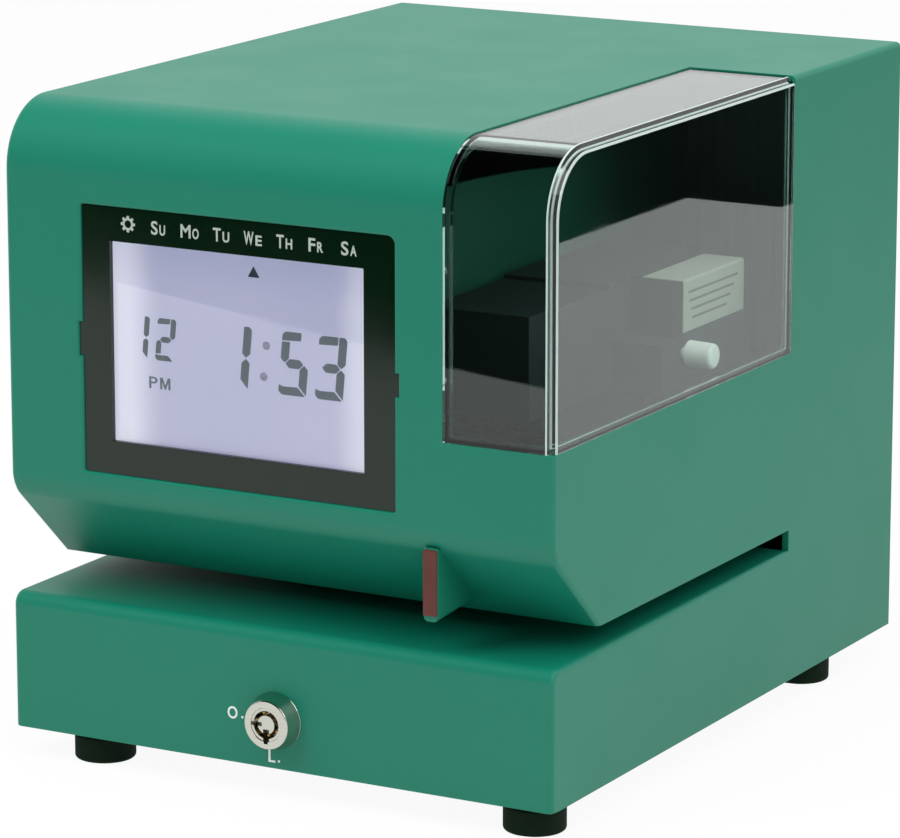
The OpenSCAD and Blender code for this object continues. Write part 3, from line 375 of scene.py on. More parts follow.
def join(pieces: Sequence[Piece], name: str) -> Piece:
    """Join pieces into the first of them, under a name.

    Args:
        pieces: The pieces, which end as one.
        name: Name of the joined piece.

    Returns:
        The joined piece.
    """
    first = pieces[0]
    activate(first)
    for piece in pieces[1:]:
        piece.select_set(True)
    bpy.ops.object.join()
    first.name = first.data.name = name
    return first


def shift(piece: Piece, move: Vector, scale: tuple[float, float, float] = (1, 1, 1)) -> Piece:
    """Scale a piece about the origin, move it, and apply both to its mesh.

    Args:
        piece: The piece.
        move: The move in metres.
        scale: Its factor along each axis.

    Returns:
        The same piece.
    """
    activate(piece)
    piece.scale = scale
    piece.location = move
    bpy.ops.object.transform_apply(location=True, rotation=True, scale=True)
    return piece


def copy_at(piece: Piece, move: Vector) -> Piece:
    """Copy a piece with a mesh of its own and move the copy.

    Args:
        piece: The piece.
        move: The copy's move in metres.

    Returns:
        The copy.
    """
    twin = piece.copy()
    twin.data = piece.data.copy()
    bpy.context.scene.collection.objects.link(twin)
    return shift(twin, move)


def smooth(piece: Piece, angle: float = 35) -> None:
    """Shade the faces smooth up to an angle in degrees, and keep the flat ones flat.

    Args:
        piece: The piece.
        angle: The angle.
    """
    activate(piece)
    bpy.ops.object.shade_smooth_by_angle(angle=math.radians(angle))
    modify(piece, "WEIGHTED_NORMAL", mode="FACE_AREA", weight=100, keep_sharp=True)


def fit_words(name: str, text: str, cap: float, span: Pair, base: float, depth: float, ink: float,
              weight: float = 0.12) -> Piece:
    """Set letters that face the front between two places on a line.

    Args:
        name: Name of the new piece.
        text: The letters.
        cap: Height of a capital in mm, as all the sizes.
        span: x of the first letter's left and of the last letter's right side.
        base: Height of the line.
        depth: Depth of the ink's middle.
        ink: Thickness of the ink.
        weight: How much thicker each side of a stroke is.

    Returns:
        The letters as a mesh.
    """
    clear_selection()
    bpy.ops.object.text_add(location=(0, 0, 0))
    piece = bpy.context.object
    line = piece.data
    line.body = text
    line.size = cap * MM / CAP_SHARE
    line.extrude = ink * MM / 2
    line.offset = weight * MM
    line.resolution_u = 6
    bpy.ops.object.convert(target="MESH")
    piece.rotation_euler = (math.pi / 2, 0, 0)
    settle(name)
    xs = [vertex.co.x for vertex in piece.data.vertices]
    wide = (span[1] - span[0]) * MM / (max(xs) - min(xs))
    return shift(piece, at(span[0], depth, base) - Vector((min(xs) * wide, 0, 0)), (wide, 1, 1))


def polar(centre: Pair, radius: float, turn: float) -> Pair:
    """Find the point of a circle at an angle in degrees."""
    angle = math.radians(turn)
    return centre[0] + radius * math.cos(angle), centre[1] + radius * math.sin(angle)


def arc(centre: Pair, radius: float, start: float, end: float, steps: int) -> list[Pair]:
    """List the points on an arc, both ends included.

    Args:
        centre: The arc's centre in mm.
        radius: Its radius in mm.
        start: First angle in degrees.
        end: Last angle in degrees.
        steps: Number of chords.

    Returns:
        The points.
    """
    return [polar(centre, radius, start + (end - start) * i / steps) for i in range(steps + 1)]


def rounded(x0: float, x1: float, z0: float, z1: float, radius: float, steps: int = 6) -> list[Pair]:
    """Outline of a rectangle with four round corners, in mm.

    Args:
        x0: x of its left side.
        x1: x of its right side.
        z0: Height of its lower side.
        z1: Height of its upper side.
        radius: Radius of its corners.
        steps: Chords round each corner.

    Returns:
        Its points, anticlockwise.
    """
    left, right, low, high = x0 + radius, x1 - radius, z0 + radius, z1 - radius
    centres = [(right, high), (left, high), (left, low), (right, low)]
    return [p for i, centre in enumerate(centres) for p in arc(centre, radius, 90 * i, 90 * i + 90, steps)]


# Finishes. Pattern sizes are in mm, and patterns lie in Object coordinates.


def linear(code: str) -> tuple[float, float, float, float]:
    """Turn an sRGB hex colour into linear red, green and blue with full alpha.

    Args:
        code: The colour as a hash sign and six digits.

    Returns:
        Its four parts.
    """
    parts = [int(code[i:i + 2], 16) / 255 for i in (1, 3, 5)]
    red, green, blue = (c / 12.92 if c <= 0.04045 else ((c + 0.055) / 1.055) ** 2.4 for c in parts)
    return red, green, blue, 1.0


def per_metre(size: float) -> float:
    """Turn the size of one repeat in mm into a texture scale."""
    return 1 / (size * MM)


def add_node(tree: Tree, kind: str, inputs: dict[str | int, Any] | None = None, **settings: Any) -> Node:
    """Add a shader node with its settings, values and links.

    Args:
        tree: The node tree.
        kind: The node's type name, without its first word ShaderNode.
        inputs: A value, or another node's output to link, for each input.
        settings: The node's own properties.

    Returns:
        The new node.
    """
    node = tree.nodes.new(f"ShaderNode{kind}")
    for key, value in settings.items():
        setattr(node, key, value)
    for key, value in (inputs or {}).items():
        if isinstance(value, Socket):
            tree.links.new(value, node.inputs[key])
        else:
            node.inputs[key].default_value = value
    return node


def empty_tree(owner: bpy.types.Material | bpy.types.World) -> Tree:
    """Give a new material or world an empty node tree.

    Args:
        owner: The material or world.

    Returns:
        Its tree.
    """
    owner.use_nodes = True
    owner.node_tree.nodes.clear()
    return owner.node_tree


@dataclass(frozen=True)
class Draft:
    """A material in the making.

    Attributes:
        tree: Its node tree.
        spot: The Object coordinates.
        shader: Its surface shader.
    """

    tree: Tree
    spot: Socket
    shader: Node

    def out(self, kind: str, inputs: dict[str | int, Any], output: str | int = 0, **settings: Any) -> Socket:
        """Add a node and hand on one of its outputs."""
        return add_node(self.tree, kind, inputs, **settings).outputs[output]

    def drive(self, name: str, pattern: Socket) -> None:
        """Link a pattern to one of the shader's sockets."""
        self.tree.links.new(pattern, self.shader.inputs[name])

    def noise(self, size: float, detail: float, spot: Socket | None = None) -> Socket:
        """Add a noise with patches of a size."""
        where = self.spot if spot is None else spot
        return self.out("TexNoise", {"Vector": where, "Scale": per_metre(size), "Detail": detail})

    def wave(self, pitch: float, axis: Axis, **inputs: float) -> Socket:
        """Add bands of a pitch that follow each other along an axis.

        Args:
            pitch: Width of a band in mm.
            axis: The axis.
            inputs: Other values of the node.

        Returns:
            The bands, from 0 to 1.
        """
        scale = per_metre(pitch) * WAVE_SCALE
        return self.out("TexWave", {"Vector": self.spot, "Scale": scale, **inputs}, "Fac",
                        wave_type="BANDS", bands_direction=axis.name)

    def math(self, operation: str, *values: Socket | float, **settings: Any) -> Socket:
        """Add a Math node with its values in order."""
        return self.out("Math", dict(enumerate(values)), operation=operation, **settings)

    def span(self, value: Socket, start: Pair, end: Pair = (0.0, 1.0), **settings: Any) -> Socket:
        """Map one range of values to another."""
        return self.out("MapRange", {"Value": value, "From Min": start[0], "From Max": start[1],
                                     "To Min": end[0], "To Max": end[1]}, **settings)

    def tint(self, share: Socket, first: str | Socket, second: str) -> None:
        """Mix two colours by a share and give the mix to the shader.

        Args:
            share: Share of the second colour.
            first: The first colour, or a pattern of colours.
            second: The second colour.
        """
        start = linear(first) if isinstance(first, str) else first
        self.drive("Base Color", self.out(
            "Mix", {"Factor": share, 6: start, 7: linear(second)}, 2, data_type="RGBA"))

    def emboss(self, height: Socket, depth: float, strength: float = 0.3) -> None:
        """Raise the surface by a height pattern with a depth in mm."""
        self.drive("Normal", self.out(
            "Bump", {"Height": height, "Distance": depth * MM, "Strength": strength}))


@dataclass(frozen=True)
class Finish:
    """A plain surface, from which the finishes below are made.

    Attributes:
        name: What the real surface is called.
        colour: Its sRGB colour.
        roughness: How matt it is.
        metallic: 1 on bare metal.
        ior: Its index of refraction. A metal keeps the default.
    """

    name: str
    colour: str
    roughness: float = 0.5
    metallic: float = 0.0
    ior: float | None = None

    def make(self) -> bpy.types.Material:
        """Build the material, or find it if it is already built.

        Returns:
            The material.
        """
        material = bpy.data.materials.get(self.name)
        if material:
            return material
        material = bpy.data.materials.new(self.name)
        tree = empty_tree(material)
        spot = add_node(tree, "TexCoord").outputs["Object"]
        shader = add_node(tree, "BsdfPrincipled", {
            "Base Color": linear(self.colour), "Roughness": self.roughness, "Metallic": self.metallic})
        if self.ior is not None:
            shader.inputs["IOR"].default_value = self.ior
        self.detail(Draft(tree, spot, shader))
        add_node(tree, "OutputMaterial", {"Surface": shader.outputs["BSDF"]})
        return material

    def detail(self, draft: Draft) -> None:
        """Add what the surface shows up close. The plain finish shows nothing."""

    def haze(self, draft: Draft, spread: float, size: float, spot: Socket | None = None) -> None:
        """Let the roughness drift by a spread over patches of a size."""
        drift = (max(self.roughness - spread, 0.0), self.roughness + spread)
        draft.drive("Roughness", draft.span(draft.noise(size, 3.0, spot), (0.3, 0.7), drift))


@dataclass(frozen=True)
class Moulding(Finish):
    """Moulded plastic from a spark-eroded tool: an even fine grain that spreads the highlights.

    Attributes:
        shade: Colour that the surface drifts to.
        grain: Size of the grain in mm, as all its sizes.
        grain_depth: Depth of the grain.
        patch: Size of the patches that the colour drifts over.
    """

    shade: str = "#000000"
    grain: float = 0.8
    grain_depth: float = 0.05
    patch: float = 70.0

    def detail(self, draft: Draft) -> None:
        """Add the drift of colour and gloss and the tool's grain, drawn coarser than the real 0.3 mm.

        Args:
            draft: The material in the making.
        """
        draft.tint(draft.noise(self.patch, 4.0), self.colour, self.shade)
        self.haze(draft, 0.02, self.patch / 2)
        draft.emboss(draft.noise(self.grain, 2.0), self.grain_depth)


@dataclass(frozen=True)
class ClearMoulding(Finish):
    """Polished clear plastic with a faint handling haze, and lines that the tool left matt along its edges.

    Attributes:
        matt: The matt lines, each by the two x in mm that it lies between.
        clear_share: How much of the light a matt line lets through.
    """

    matt: tuple[Pair, ...] = ()
    clear_share: float = 0.35

    def detail(self, draft: Draft) -> None:
        """Let light through, less of it at the matt lines, with a haze in patches of 30 mm.

        Args:
            draft: The material in the making.
        """
        self.haze(draft, 0.015, 30.0)
        draft.shader.inputs["Transmission Weight"].default_value = 1.0
        if not self.matt:
            return
        x = draft.out("SeparateXYZ", {"Vector": draft.spot}, "X")
        line: Socket | float = 0.0
        for low, high in self.matt:
            near = draft.math("COMPARE", x, (low + high) / 2 * MM, (high - low) / 2 * MM)
            line = draft.math("ADD", near, line)
        draft.drive("Transmission Weight", draft.span(line, (0.0, 1.0), (1.0, self.clear_share)))


@dataclass(frozen=True)
class Metal(Finish):
    """Bare or plated metal with the lines of its rolling or brushing.

    Attributes:
        shade: Second colour of the lines.
        line: Width of one line in mm.
        along: Direction of the lines.
        lift: Depth of the lines in mm.
    """

    metallic: float = 1.0
    shade: str = "#808080"
    line: float = 0.6
    along: Axis = Axis.X
    lift: float = 0.01

    def detail(self, draft: Draft) -> None:
        """Stretch a noise thirty times along the lines, for the colour, the gloss and the relief.

        Args:
            draft: The material in the making.
        """
        stretch = [1 / 30 if part else 1.0 for part in self.along.value]
        lines = draft.out("Mapping", {"Vector": draft.spot, "Scale": stretch})
        draft.tint(draft.noise(self.line * 4, 4.0, lines), self.colour, self.shade)
        self.haze(draft, 0.08, self.line * 2, lines)
        draft.emboss(draft.noise(self.line, 2.0, lines), self.lift)


@dataclass(frozen=True)
class Banded(Finish):
    """A wound or stacked surface that shows its wires or sheets as bands.

    Attributes:
        groove: Colour between two bands.
        pitch: Width of a band in mm.
        across: Axis that the bands follow each other along.
    """

    groove: str = "#000000"
    pitch: float = 1.0
    across: Axis = Axis.Z

    def detail(self, draft: Draft) -> None:
        """Draw the bands in colour and relief.

        Args:
            draft: The material in the making.
        """
        wave = draft.wave(self.pitch, self.across, Distortion=0.3, Detail=1.0)
        ramp = add_node(draft.tree, "ValToRGB", {"Fac": wave})
        dark, bright = ramp.color_ramp.elements
        dark.color, bright.color = linear(self.groove), linear(self.colour)
        bright.position = 0.45
        draft.drive("Base Color", ramp.outputs["Color"])
        draft.emboss(wave, self.pitch / 4, 0.5)


@dataclass(frozen=True)
class Woven(Finish):
    """A thin cloth: a plain weave of fine thread.

    Attributes:
        thread: Width of a thread in mm.
        dark: Colour that the cloth drifts to.
    """

    thread: float = 0.5
    dark: str = "#3a3556"

    def detail(self, draft: Draft) -> None:
        """Cross sets of threads, drawn at twice the real 0.25 mm or more so that they show.

        Args:
            draft: The material in the making.
        """
        height: Socket | float = 0.0
        for axis in Axis:
            height = draft.math("ADD", draft.wave(self.thread, axis), height)
        draft.tint(draft.noise(6.0, 4.0), self.colour, self.dark)
        draft.emboss(height, self.thread / 3, 0.6)


@dataclass(frozen=True)
class Board(Finish):
    """A circuit board: green mask over copper tracks, with black chips on its inner side.

    Attributes:
        chip_above: Chips are black above this x in mm.
        grid: Track spacing in mm.
    """

    chip_above: float = 1000.0
    grid: float = 2.54

    def detail(self, draft: Draft) -> None:
        """Draw tracks along the board on its grid and colour the chips by their place.

        Args:
            draft: The material in the making.
        """
        x, y, z = add_node(draft.tree, "SeparateXYZ", {"Vector": draft.spot}).outputs
        flat = draft.out("CombineXYZ", {"X": draft.math("ADD", x, y), "Y": z})
        step = self.grid * MM
        tracks = add_node(draft.tree, "TexBrick", {
            "Vector": flat, "Scale": 1.0, "Color1": linear(self.colour), "Color2": linear("#1b5535"),
            "Mortar": linear("#37804f"), "Mortar Size": step / 9, "Mortar Smooth": 0.0,
            "Brick Width": step * 7, "Row Height": step},
            offset=0.37, offset_frequency=3, squash=1.7, squash_frequency=5)
        chip = draft.math("GREATER_THAN", x, self.chip_above * MM)
        draft.tint(chip, tracks.outputs["Color"], "#1b1c1d")
        draft.emboss(tracks.outputs["Fac"], 0.05)


@dataclass(frozen=True)
class TypeWheel(Finish):
    """Ivory nylon with ink on the raised type.

    Attributes:
        axle: Depth and height of the wheel's axle in mm.
        rim: Radius in mm beyond which the surface is inked.
    """

    axle: Pair = (110.0, 92.5)
    rim: float = 19.95

    def detail(self, draft: Draft) -> None:
        """Measure the distance from the axle and ink what is beyond the rim.

        Args:
            draft: The material in the making.
        """
        moved = draft.out("Mapping", {"Vector": draft.spot, "Location": -at(0, *self.axle)})
        flat = draft.out("VectorMath", {0: moved, 1: (0, 1, 1)}, operation="MULTIPLY")
        reach = draft.out("VectorMath", {0: flat}, "Value", operation="LENGTH")
        smear = draft.noise(3.0, 3.0)
        edge = draft.span(reach, ((self.rim - 0.5) * MM, (self.rim + 0.2) * MM))
        draft.tint(draft.math("MULTIPLY_ADD", edge, smear, 0.2, use_clamp=True), self.colour, "#2a2638")
        draft.emboss(smear, 0.04)


@dataclass(frozen=True)
class DisplayFace(Finish):
    """The glowing face of a display that is lit from its two sides.

    Attributes:
        left: x of the left side of the view in mm.
        right: x of its right side in mm.
        high: Height of its upper side in mm.
        glow: Strength of the backlight.
    """

    left: float = -65.8
    right: float = 35.1
    high: float = 189.5
    glow: float = 0.71

    def detail(self, draft: Draft) -> None:
        """Brighten the sides, where the lamps are, and dim the upper edge.

        Args:
            draft: The material in the making.
        """
        x, _, z = add_node(draft.tree, "SeparateXYZ", {"Vector": draft.spot}).outputs
        near_left, near_right, near_top = (
            draft.span(value, (start * MM, end * MM), levels, interpolation_type="SMOOTHERSTEP")
            for value, start, end, levels in ((x, self.left, self.left + 22, (1.0, 0.0)),
                                              (x, self.right - 16, self.right, (0.0, 0.7)),
                                              (z, self.high - 20, self.high, (0.0, 0.28))))
        level = draft.math("SUBTRACT", draft.math("ADD", near_left, near_right), near_top)
        soft = draft.math("MULTIPLY_ADD", draft.noise(45.0, 1.0), 0.25, level)
        ramp = add_node(draft.tree, "ValToRGB", {"Fac": draft.span(soft, (-0.5, 1.0))})
        stops = ramp.color_ramp.elements
        stops[0].color, stops[1].color = linear("#9aa6c8"), linear("#eceeff")
        stops.new(0.42).color = linear("#b9bad8")
        draft.drive("Emission Color", ramp.outputs["Color"])
        draft.shader.inputs["Emission Strength"].default_value = self.glow


class Surface(Enum):
    """The finishes of this clock, each named for the real material."""

    # Moulded ABS in a deep sea green, with a soft broad sheen on its grain.
    CASE = Moulding("green moulded ABS", "#0a7760", 0.45, ior=1.43, shade="#09735c")
    # Black ABS, smooth enough to mirror the room weakly.
    BEZEL = Moulding("black moulded ABS", "#03180a", 0.1, ior=1.48, shade="#041b0c", grain_depth=0.004)
    # Grey polystyrene of a throw-away cassette, a little chalky, darkened to near black as painted shade
    # under the cover.
    CASSETTE = Moulding("grey moulded polystyrene", "#242b2b", 0.55, ior=1.5, shade="#1f2626")
    # White nylon with a soft gloss.
    KNOB = Moulding("white moulded nylon", "#f6f3ee", 0.4, ior=1.53, shade="#eeebe4", patch=8.0)
    # Red ABS, dulled by the hands that pass it.
    POINTER = Moulding("red moulded ABS", "#602a20", 0.45, ior=1.48, shade="#55261d", patch=12.0)
    # Black phenolic of small switches and bushes.
    SWITCH = Moulding("black moulded phenolic", "#1a1b1c", 0.45, ior=1.6, shade="#242527", patch=10.0)
    # Feet of black rubber: no shine, slightly dusty.
    RUBBER = Moulding("black moulded rubber", "#03180a", 0.9, ior=1.3, shade="#051c0c", grain=0.6, patch=9.0)
    # Milky acrylic that spreads the display's light.
    DIFFUSER = Moulding("milky moulded acrylic", "#e6e8ec", 0.35, ior=1.49, shade="#dadde4", grain_depth=0.01)
    # Clear acrylic, polished in the tool. Its matt lines are the two edges of the cover's facet.
    CLEAR = ClearMoulding("clear moulded acrylic", "#d8ece7", 0.004, ior=1.49,
                          matt=((104.8, 105.42), (107.45, 107.97)))
    # Clear film over the display, without the tint of the thick panes.
    LENS = ClearMoulding("clear polycarbonate film", "#ffffff", 0.02, ior=1.5)
    # Zinc on sheet steel: pale grey with rolling lines.
    SHEET = Metal("zinc-plated sheet steel", "#a2a7a7", 0.4, shade="#878c8d", along=Axis.Z)
    # Zinc-plated sheet steel darkened to a dull charcoal: painted shade that keeps the works dark behind the
    # window.
    SHADED_SHEET = Metal("shade-darkened sheet steel", "#2e3432", 0.5, shade="#272c2b", along=Axis.Z)
    # Green paint on the sheet that shows behind the window: its darkness is painted shade, and part of its
    # green is the painted cast of the light seen through the cover.
    PAINT = Moulding("shaded green-painted sheet steel", "#1c5444", 0.5, ior=1.5, shade="#194c3d", patch=30.0)
    # Bright zinc on turned screws.
    SCREW = Metal("bright zinc-plated screw steel", "#c3c5c4", 0.28, shade="#a5a8a8", line=0.3)
    # Ground steel rod.
    ROD = Metal("ground steel rod", "#a9abad", 0.24, shade="#8c8f92", line=0.2)
    # Hardened steel with an oily black oxide.
    HAMMER = Metal("black-oxide steel", "#4a4c4f", 0.38, shade="#35373a", line=0.5)
    # Satin nickel on zinc die-casting: a warm silver with a fine brushed grain.
    NICKEL = Metal("satin nickel plate", "#cfd0c6", 0.14, shade="#c6c7bd", line=0.25, lift=0.001)
    # Brass turned from bar.
    BRASS = Metal("turned brass", "#c9a45a", 0.28, shade="#a8853f", line=0.3)
    # Enamelled copper wire in layers. The wire is drawn at 0.8 mm, twice the real 0.4 mm.
    COIL = Banded("enamelled copper winding", "#b5652f", 0.32, 0.7, groove="#5a2c14", pitch=0.8)
    # Silicon steel sheets in a stack. Each is drawn at 1 mm, twice the real 0.5 mm.
    CORE = Banded("silicon steel laminations", "#54585c", 0.5, 0.8, groove="#26282a", across=Axis.Y)
    # Nylon cloth soaked in ribbon ink.
    RIBBON = Woven("inked nylon ribbon", "#25223a", 0.75, ior=1.53)
    # Black nylon gauze that keeps dust out of the vents.
    GAUZE = Woven("black nylon gauze", "#0c0e0d", 0.8, ior=1.53, thread=1.0, dark="#141716")
    # Coated label stock, cream with age.
    LABEL = Moulding("coated label paper", "#b4b3a6", 0.6, ior=1.5, shade="#aaa99c", grain=0.5, patch=14.0)
    # Ink on the label, thin and grey.
    LABEL_INK = Moulding("grey label ink", "#66675f", 0.6, ior=1.5, shade="#74756d", patch=5.0)
    # White pad-printed ink on the plastic.
    PRINT_INK = Moulding("white pad-printing ink", "#e4e8e4", 0.5, ior=1.5, shade="#d6dbd7", patch=4.0)
    # The same ink on the black surround, greyed by the clear film over it.
    NAME_INK = Moulding("grey pad-printing ink", "#aab5ab", 0.5, ior=1.5, shade="#a0aba2", patch=4.0)
    # Dark liquid-crystal segments, seen against the lit face.
    SEGMENT = Moulding("dark display segment", "#607d8c", 0.35, ior=1.45, shade="#678493", grain_depth=0.005)
    # A small segment that is fully driven.
    MARK = Moulding("deep display segment", "#3a5a74", 0.35, ior=1.52, shade="#41627c", grain_depth=0.005)
    # A segment that is only half driven.
    FAINT = Moulding("pale display segment", "#c3cbea", 0.35, ior=1.45, shade="#c8d0ee", grain_depth=0.005)
    # Liquid-crystal glass lit from both sides.
    FACE = DisplayFace("lit display glass", "#9196ac", 0.6, ior=1.45)
    # Glass-epoxy board under green mask.
    DISPLAY_BOARD = Board("display circuit board", "#1f5c3a", 0.4, ior=1.55)
    MAIN_BOARD = Board("main circuit board", "#1f5c3a", 0.4, ior=1.55, chip_above=-89.85)
    # Ivory nylon type wheels.
    WHEEL = TypeWheel("ivory moulded nylon", "#d8d2bd", 0.45, ior=1.53)
    # Ivory nylon that never meets the ink.
    IVORY = Moulding("plain ivory nylon", "#d8d2bd", 0.45, ior=1.53, shade="#cbc4ac", patch=10.0)


def place(piece: Piece, surface: Surface, body: Body, slot: str, *nodes: str) -> None:
    """Give a finished piece its surface and its body.

    Args:
        piece: The piece.
        surface: Its finish.
        body: The body that it rides on.
        slot: Name of its material slot. It is not used.
        nodes: The CAD nodes that it stands for.
    """
    piece.data.materials.clear()
    piece.data.materials.append(surface.value.make())
    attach(piece, body.value)
    if nodes:
        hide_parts(*nodes)
    LOG.info("%s: %d faces", piece.name, len(piece.data.polygons))


@dataclass
class Case:
    """The green case: one moulding with a slot across its front for the card.

    Attributes:
        half_width: Half of the outer width in mm, as all its sizes.
        depth: Outer depth.
        low: Height of the lower rim.
        high: Height of the top.
        wall: Wall thickness.
        floor: Height of the slot's floor.
        ceiling: Height of the slot's ceiling.
        throat: Depth of the slot.
        chin: Height of the bend below the front.
        chin_run: How far the chin slopes back.
        crown: Radius of the upper front edge.
        chin_round: Offset of the round at the chin.
        floor_round: Offset of the round at the slot's floor.
        ceiling_round: Offset of the round where the chin meets the ceiling.
        corner: Radius of the side edges.
        sill: Height of the lower edge of the window's opening.
    """

    half_width: float = 108.0
    depth: float = 276.0
    low: float = 10.0
    high: float = 235.0
    wall: float = 2.5
    floor: float = 59.6
    ceiling: float = 67.5
    throat: float = 184.0
    chin: float = 98.0
    chin_run: float = 33.0
    crown: float = 24.0
    chin_round: float = 5.36
    floor_round: float = 4.8
    ceiling_round: float = 1.5
    corner: float = 2.0
    sill: float = 133.5

    def block(self) -> Piece:
        """Extrude the side outline across the width and round its edges.

        Returns:
            The solid block.
        """
        outline = [(0, self.low), (0, self.floor), (self.throat, self.floor), (self.throat, self.ceiling),
                   (self.chin_run, self.ceiling), (0, self.chin), (0, self.high),
                   (self.depth, self.high), (self.depth, self.low)]
        solid = side_plate("case_moulding", outline, -self.half_width, self.half_width)
        bevel(solid, across_at(0, self.high), self.crown, 16)
        bevel(solid, across_at(0, self.chin), self.chin_round, 8)
        bevel(solid, across_at(0, self.floor), self.floor_round, 8)
        bevel(solid, self.on_side, self.corner, 6)
        bevel(solid, across_at(self.chin_run, self.ceiling), self.ceiling_round, 4)
        bevel(solid, both(lambda p: p.z < self.low + NEAR and p.y < self.corner + NEAR), 0.5, 2)
        return solid

    def on_side(self, start: Vector, end: Vector) -> bool:
        """Tell whether an edge belongs to the rounded chain along one side.

        Args:
            start: One end of the edge, as x, depth and height in mm.
            end: Its other end.

        Returns:
            Whether it does.
        """
        if abs(start.x) < self.half_width - SAME or abs(start.x - end.x) > SAME:
            return False
        if abs(start.z - end.z) < SAME:
            on_ceiling = abs(start.z - self.ceiling) < SAME and max(start.y, end.y) > self.chin_run + NEAR
            if on_ceiling or abs(start.z - self.low) < SAME:
                return False
        upright = abs(start.y - end.y) < SAME
        return not (upright and min(start.y, end.y) > self.throat - NEAR)

    def hollow(self, solid: Piece) -> None:
        """Cut out the inside, which is open at the back, at the bottom and at the slot's end.

        Args:
            solid: The solid block.
        """
        wall, fall = self.wall, self.chin - self.ceiling
        slope, lean = math.hypot(self.chin_run, fall), self.chin_run / fall
        bend = self.chin_run + wall * slope / fall - wall * lean
        rise = self.chin + wall * slope / self.chin_run - wall / lean
        end, back, below, top = self.throat - LAP, self.depth + OVER, self.low - OVER, self.high - wall
        under, over = self.floor - wall, self.ceiling + wall
        outline = [(wall, below), (wall, under), (end, under), (end, over), (bend, over), (wall, rise),
                   (wall, top), (back, top), (back, below)]
        inside = side_plate("inside", outline, wall - self.half_width, self.half_width - wall)
        bevel(inside, across_at(wall, top), self.crown - wall, 16)
        cut(solid, inside)

    def openings(self, shell: Piece) -> None:
        """Cut the openings for the window, the display, the print works and the lock.

        Args:
            shell: The hollow case.
        """
        cut(shell, box("window_zone", at(66, -2, self.sill), at(110, 183.5, 240)),
            front_plate("display_zone", Display.outline(0.0), -2, 5),
            box("floor_zone", at(44, 94, 55), at(69, 145, 62)),
            box("ceiling_zone", at(45.5, 92, 66), at(67.5, 128, 72)),
            disc("lock_zone", (0, Lock.height), 8.15, -2, 5, 64))
        bevel(shell, both(lambda p: abs(p.y) < SAME and -79.5 < p.x < 50 and 106.5 < p.z < 202.2), 1.1, 4)
        face, side = self.corner + NEAR / 2, self.half_width - self.corner - NEAR / 2
        bevel(shell, both(lambda p: abs(p.z - self.sill) < 2 * SAME and p.x > 66.1 and p.y < 183.4
                          and (p.y < face or p.x > side)), 0.45, 2)

    def fin(self) -> Piece:
        """Build the fin under the chin that carries the red pointer.

        Returns:
            The fin.
        """
        solid = side_plate("pointer_fin", [(0.8, 96.5), (0.8, 70.6), (30.5, 73.0), (3.5, 95.9)], 58.25, 63.75)
        bevel(solid, lambda start, end: max(start.z, end.z) < 75 and abs(start.y - end.y) > 10, 1.7, 5)
        soften(solid, 0.4, 2)
        return solid

    def build(self) -> None:
        """Build the moulding with its openings and its fin."""
        shell = self.block()
        self.hollow(shell)
        self.openings(shell)
        piece = join([shell, self.fin()], "case_moulding")
        smooth(piece)
        place(piece, Surface.CASE, Body.CASE, "case_plastic", "case_shell")


@dataclass
class Pointer:
    """The red strip on the fin, which shows where the print falls.

    Attributes:
        left: x of its left side in mm, as all its sizes.
        right: x of its right side.
        low: Height of its lower end.
        high: Height of its upper end.
        corner: Radius of its upper corners.
        thickness: Its thickness.
    """

    left: float = 58.35
    right: float = 63.65
    low: float = 72.8
    high: float = 95.8
    corner: float = 1.0
    thickness: float = 0.8

    def build(self) -> None:
        """Build the strip with a round upper end and soft edges."""
        corner, level = self.corner, self.high - self.corner
        outline = [(self.left, self.low), (self.right, self.low),
                   *arc((self.right - corner, level), corner, 0, 90, 4),
                   *arc((self.left + corner, level), corner, 90, 180, 4)]
        strip = front_plate("red_pointer", outline, 0, self.thickness)
        bevel(strip, both(lambda p: p.y < SAME), 0.35, 3)
        smooth(strip)
        place(strip, Surface.POINTER, Body.CASE, "red_plastic", "pointer_strip")


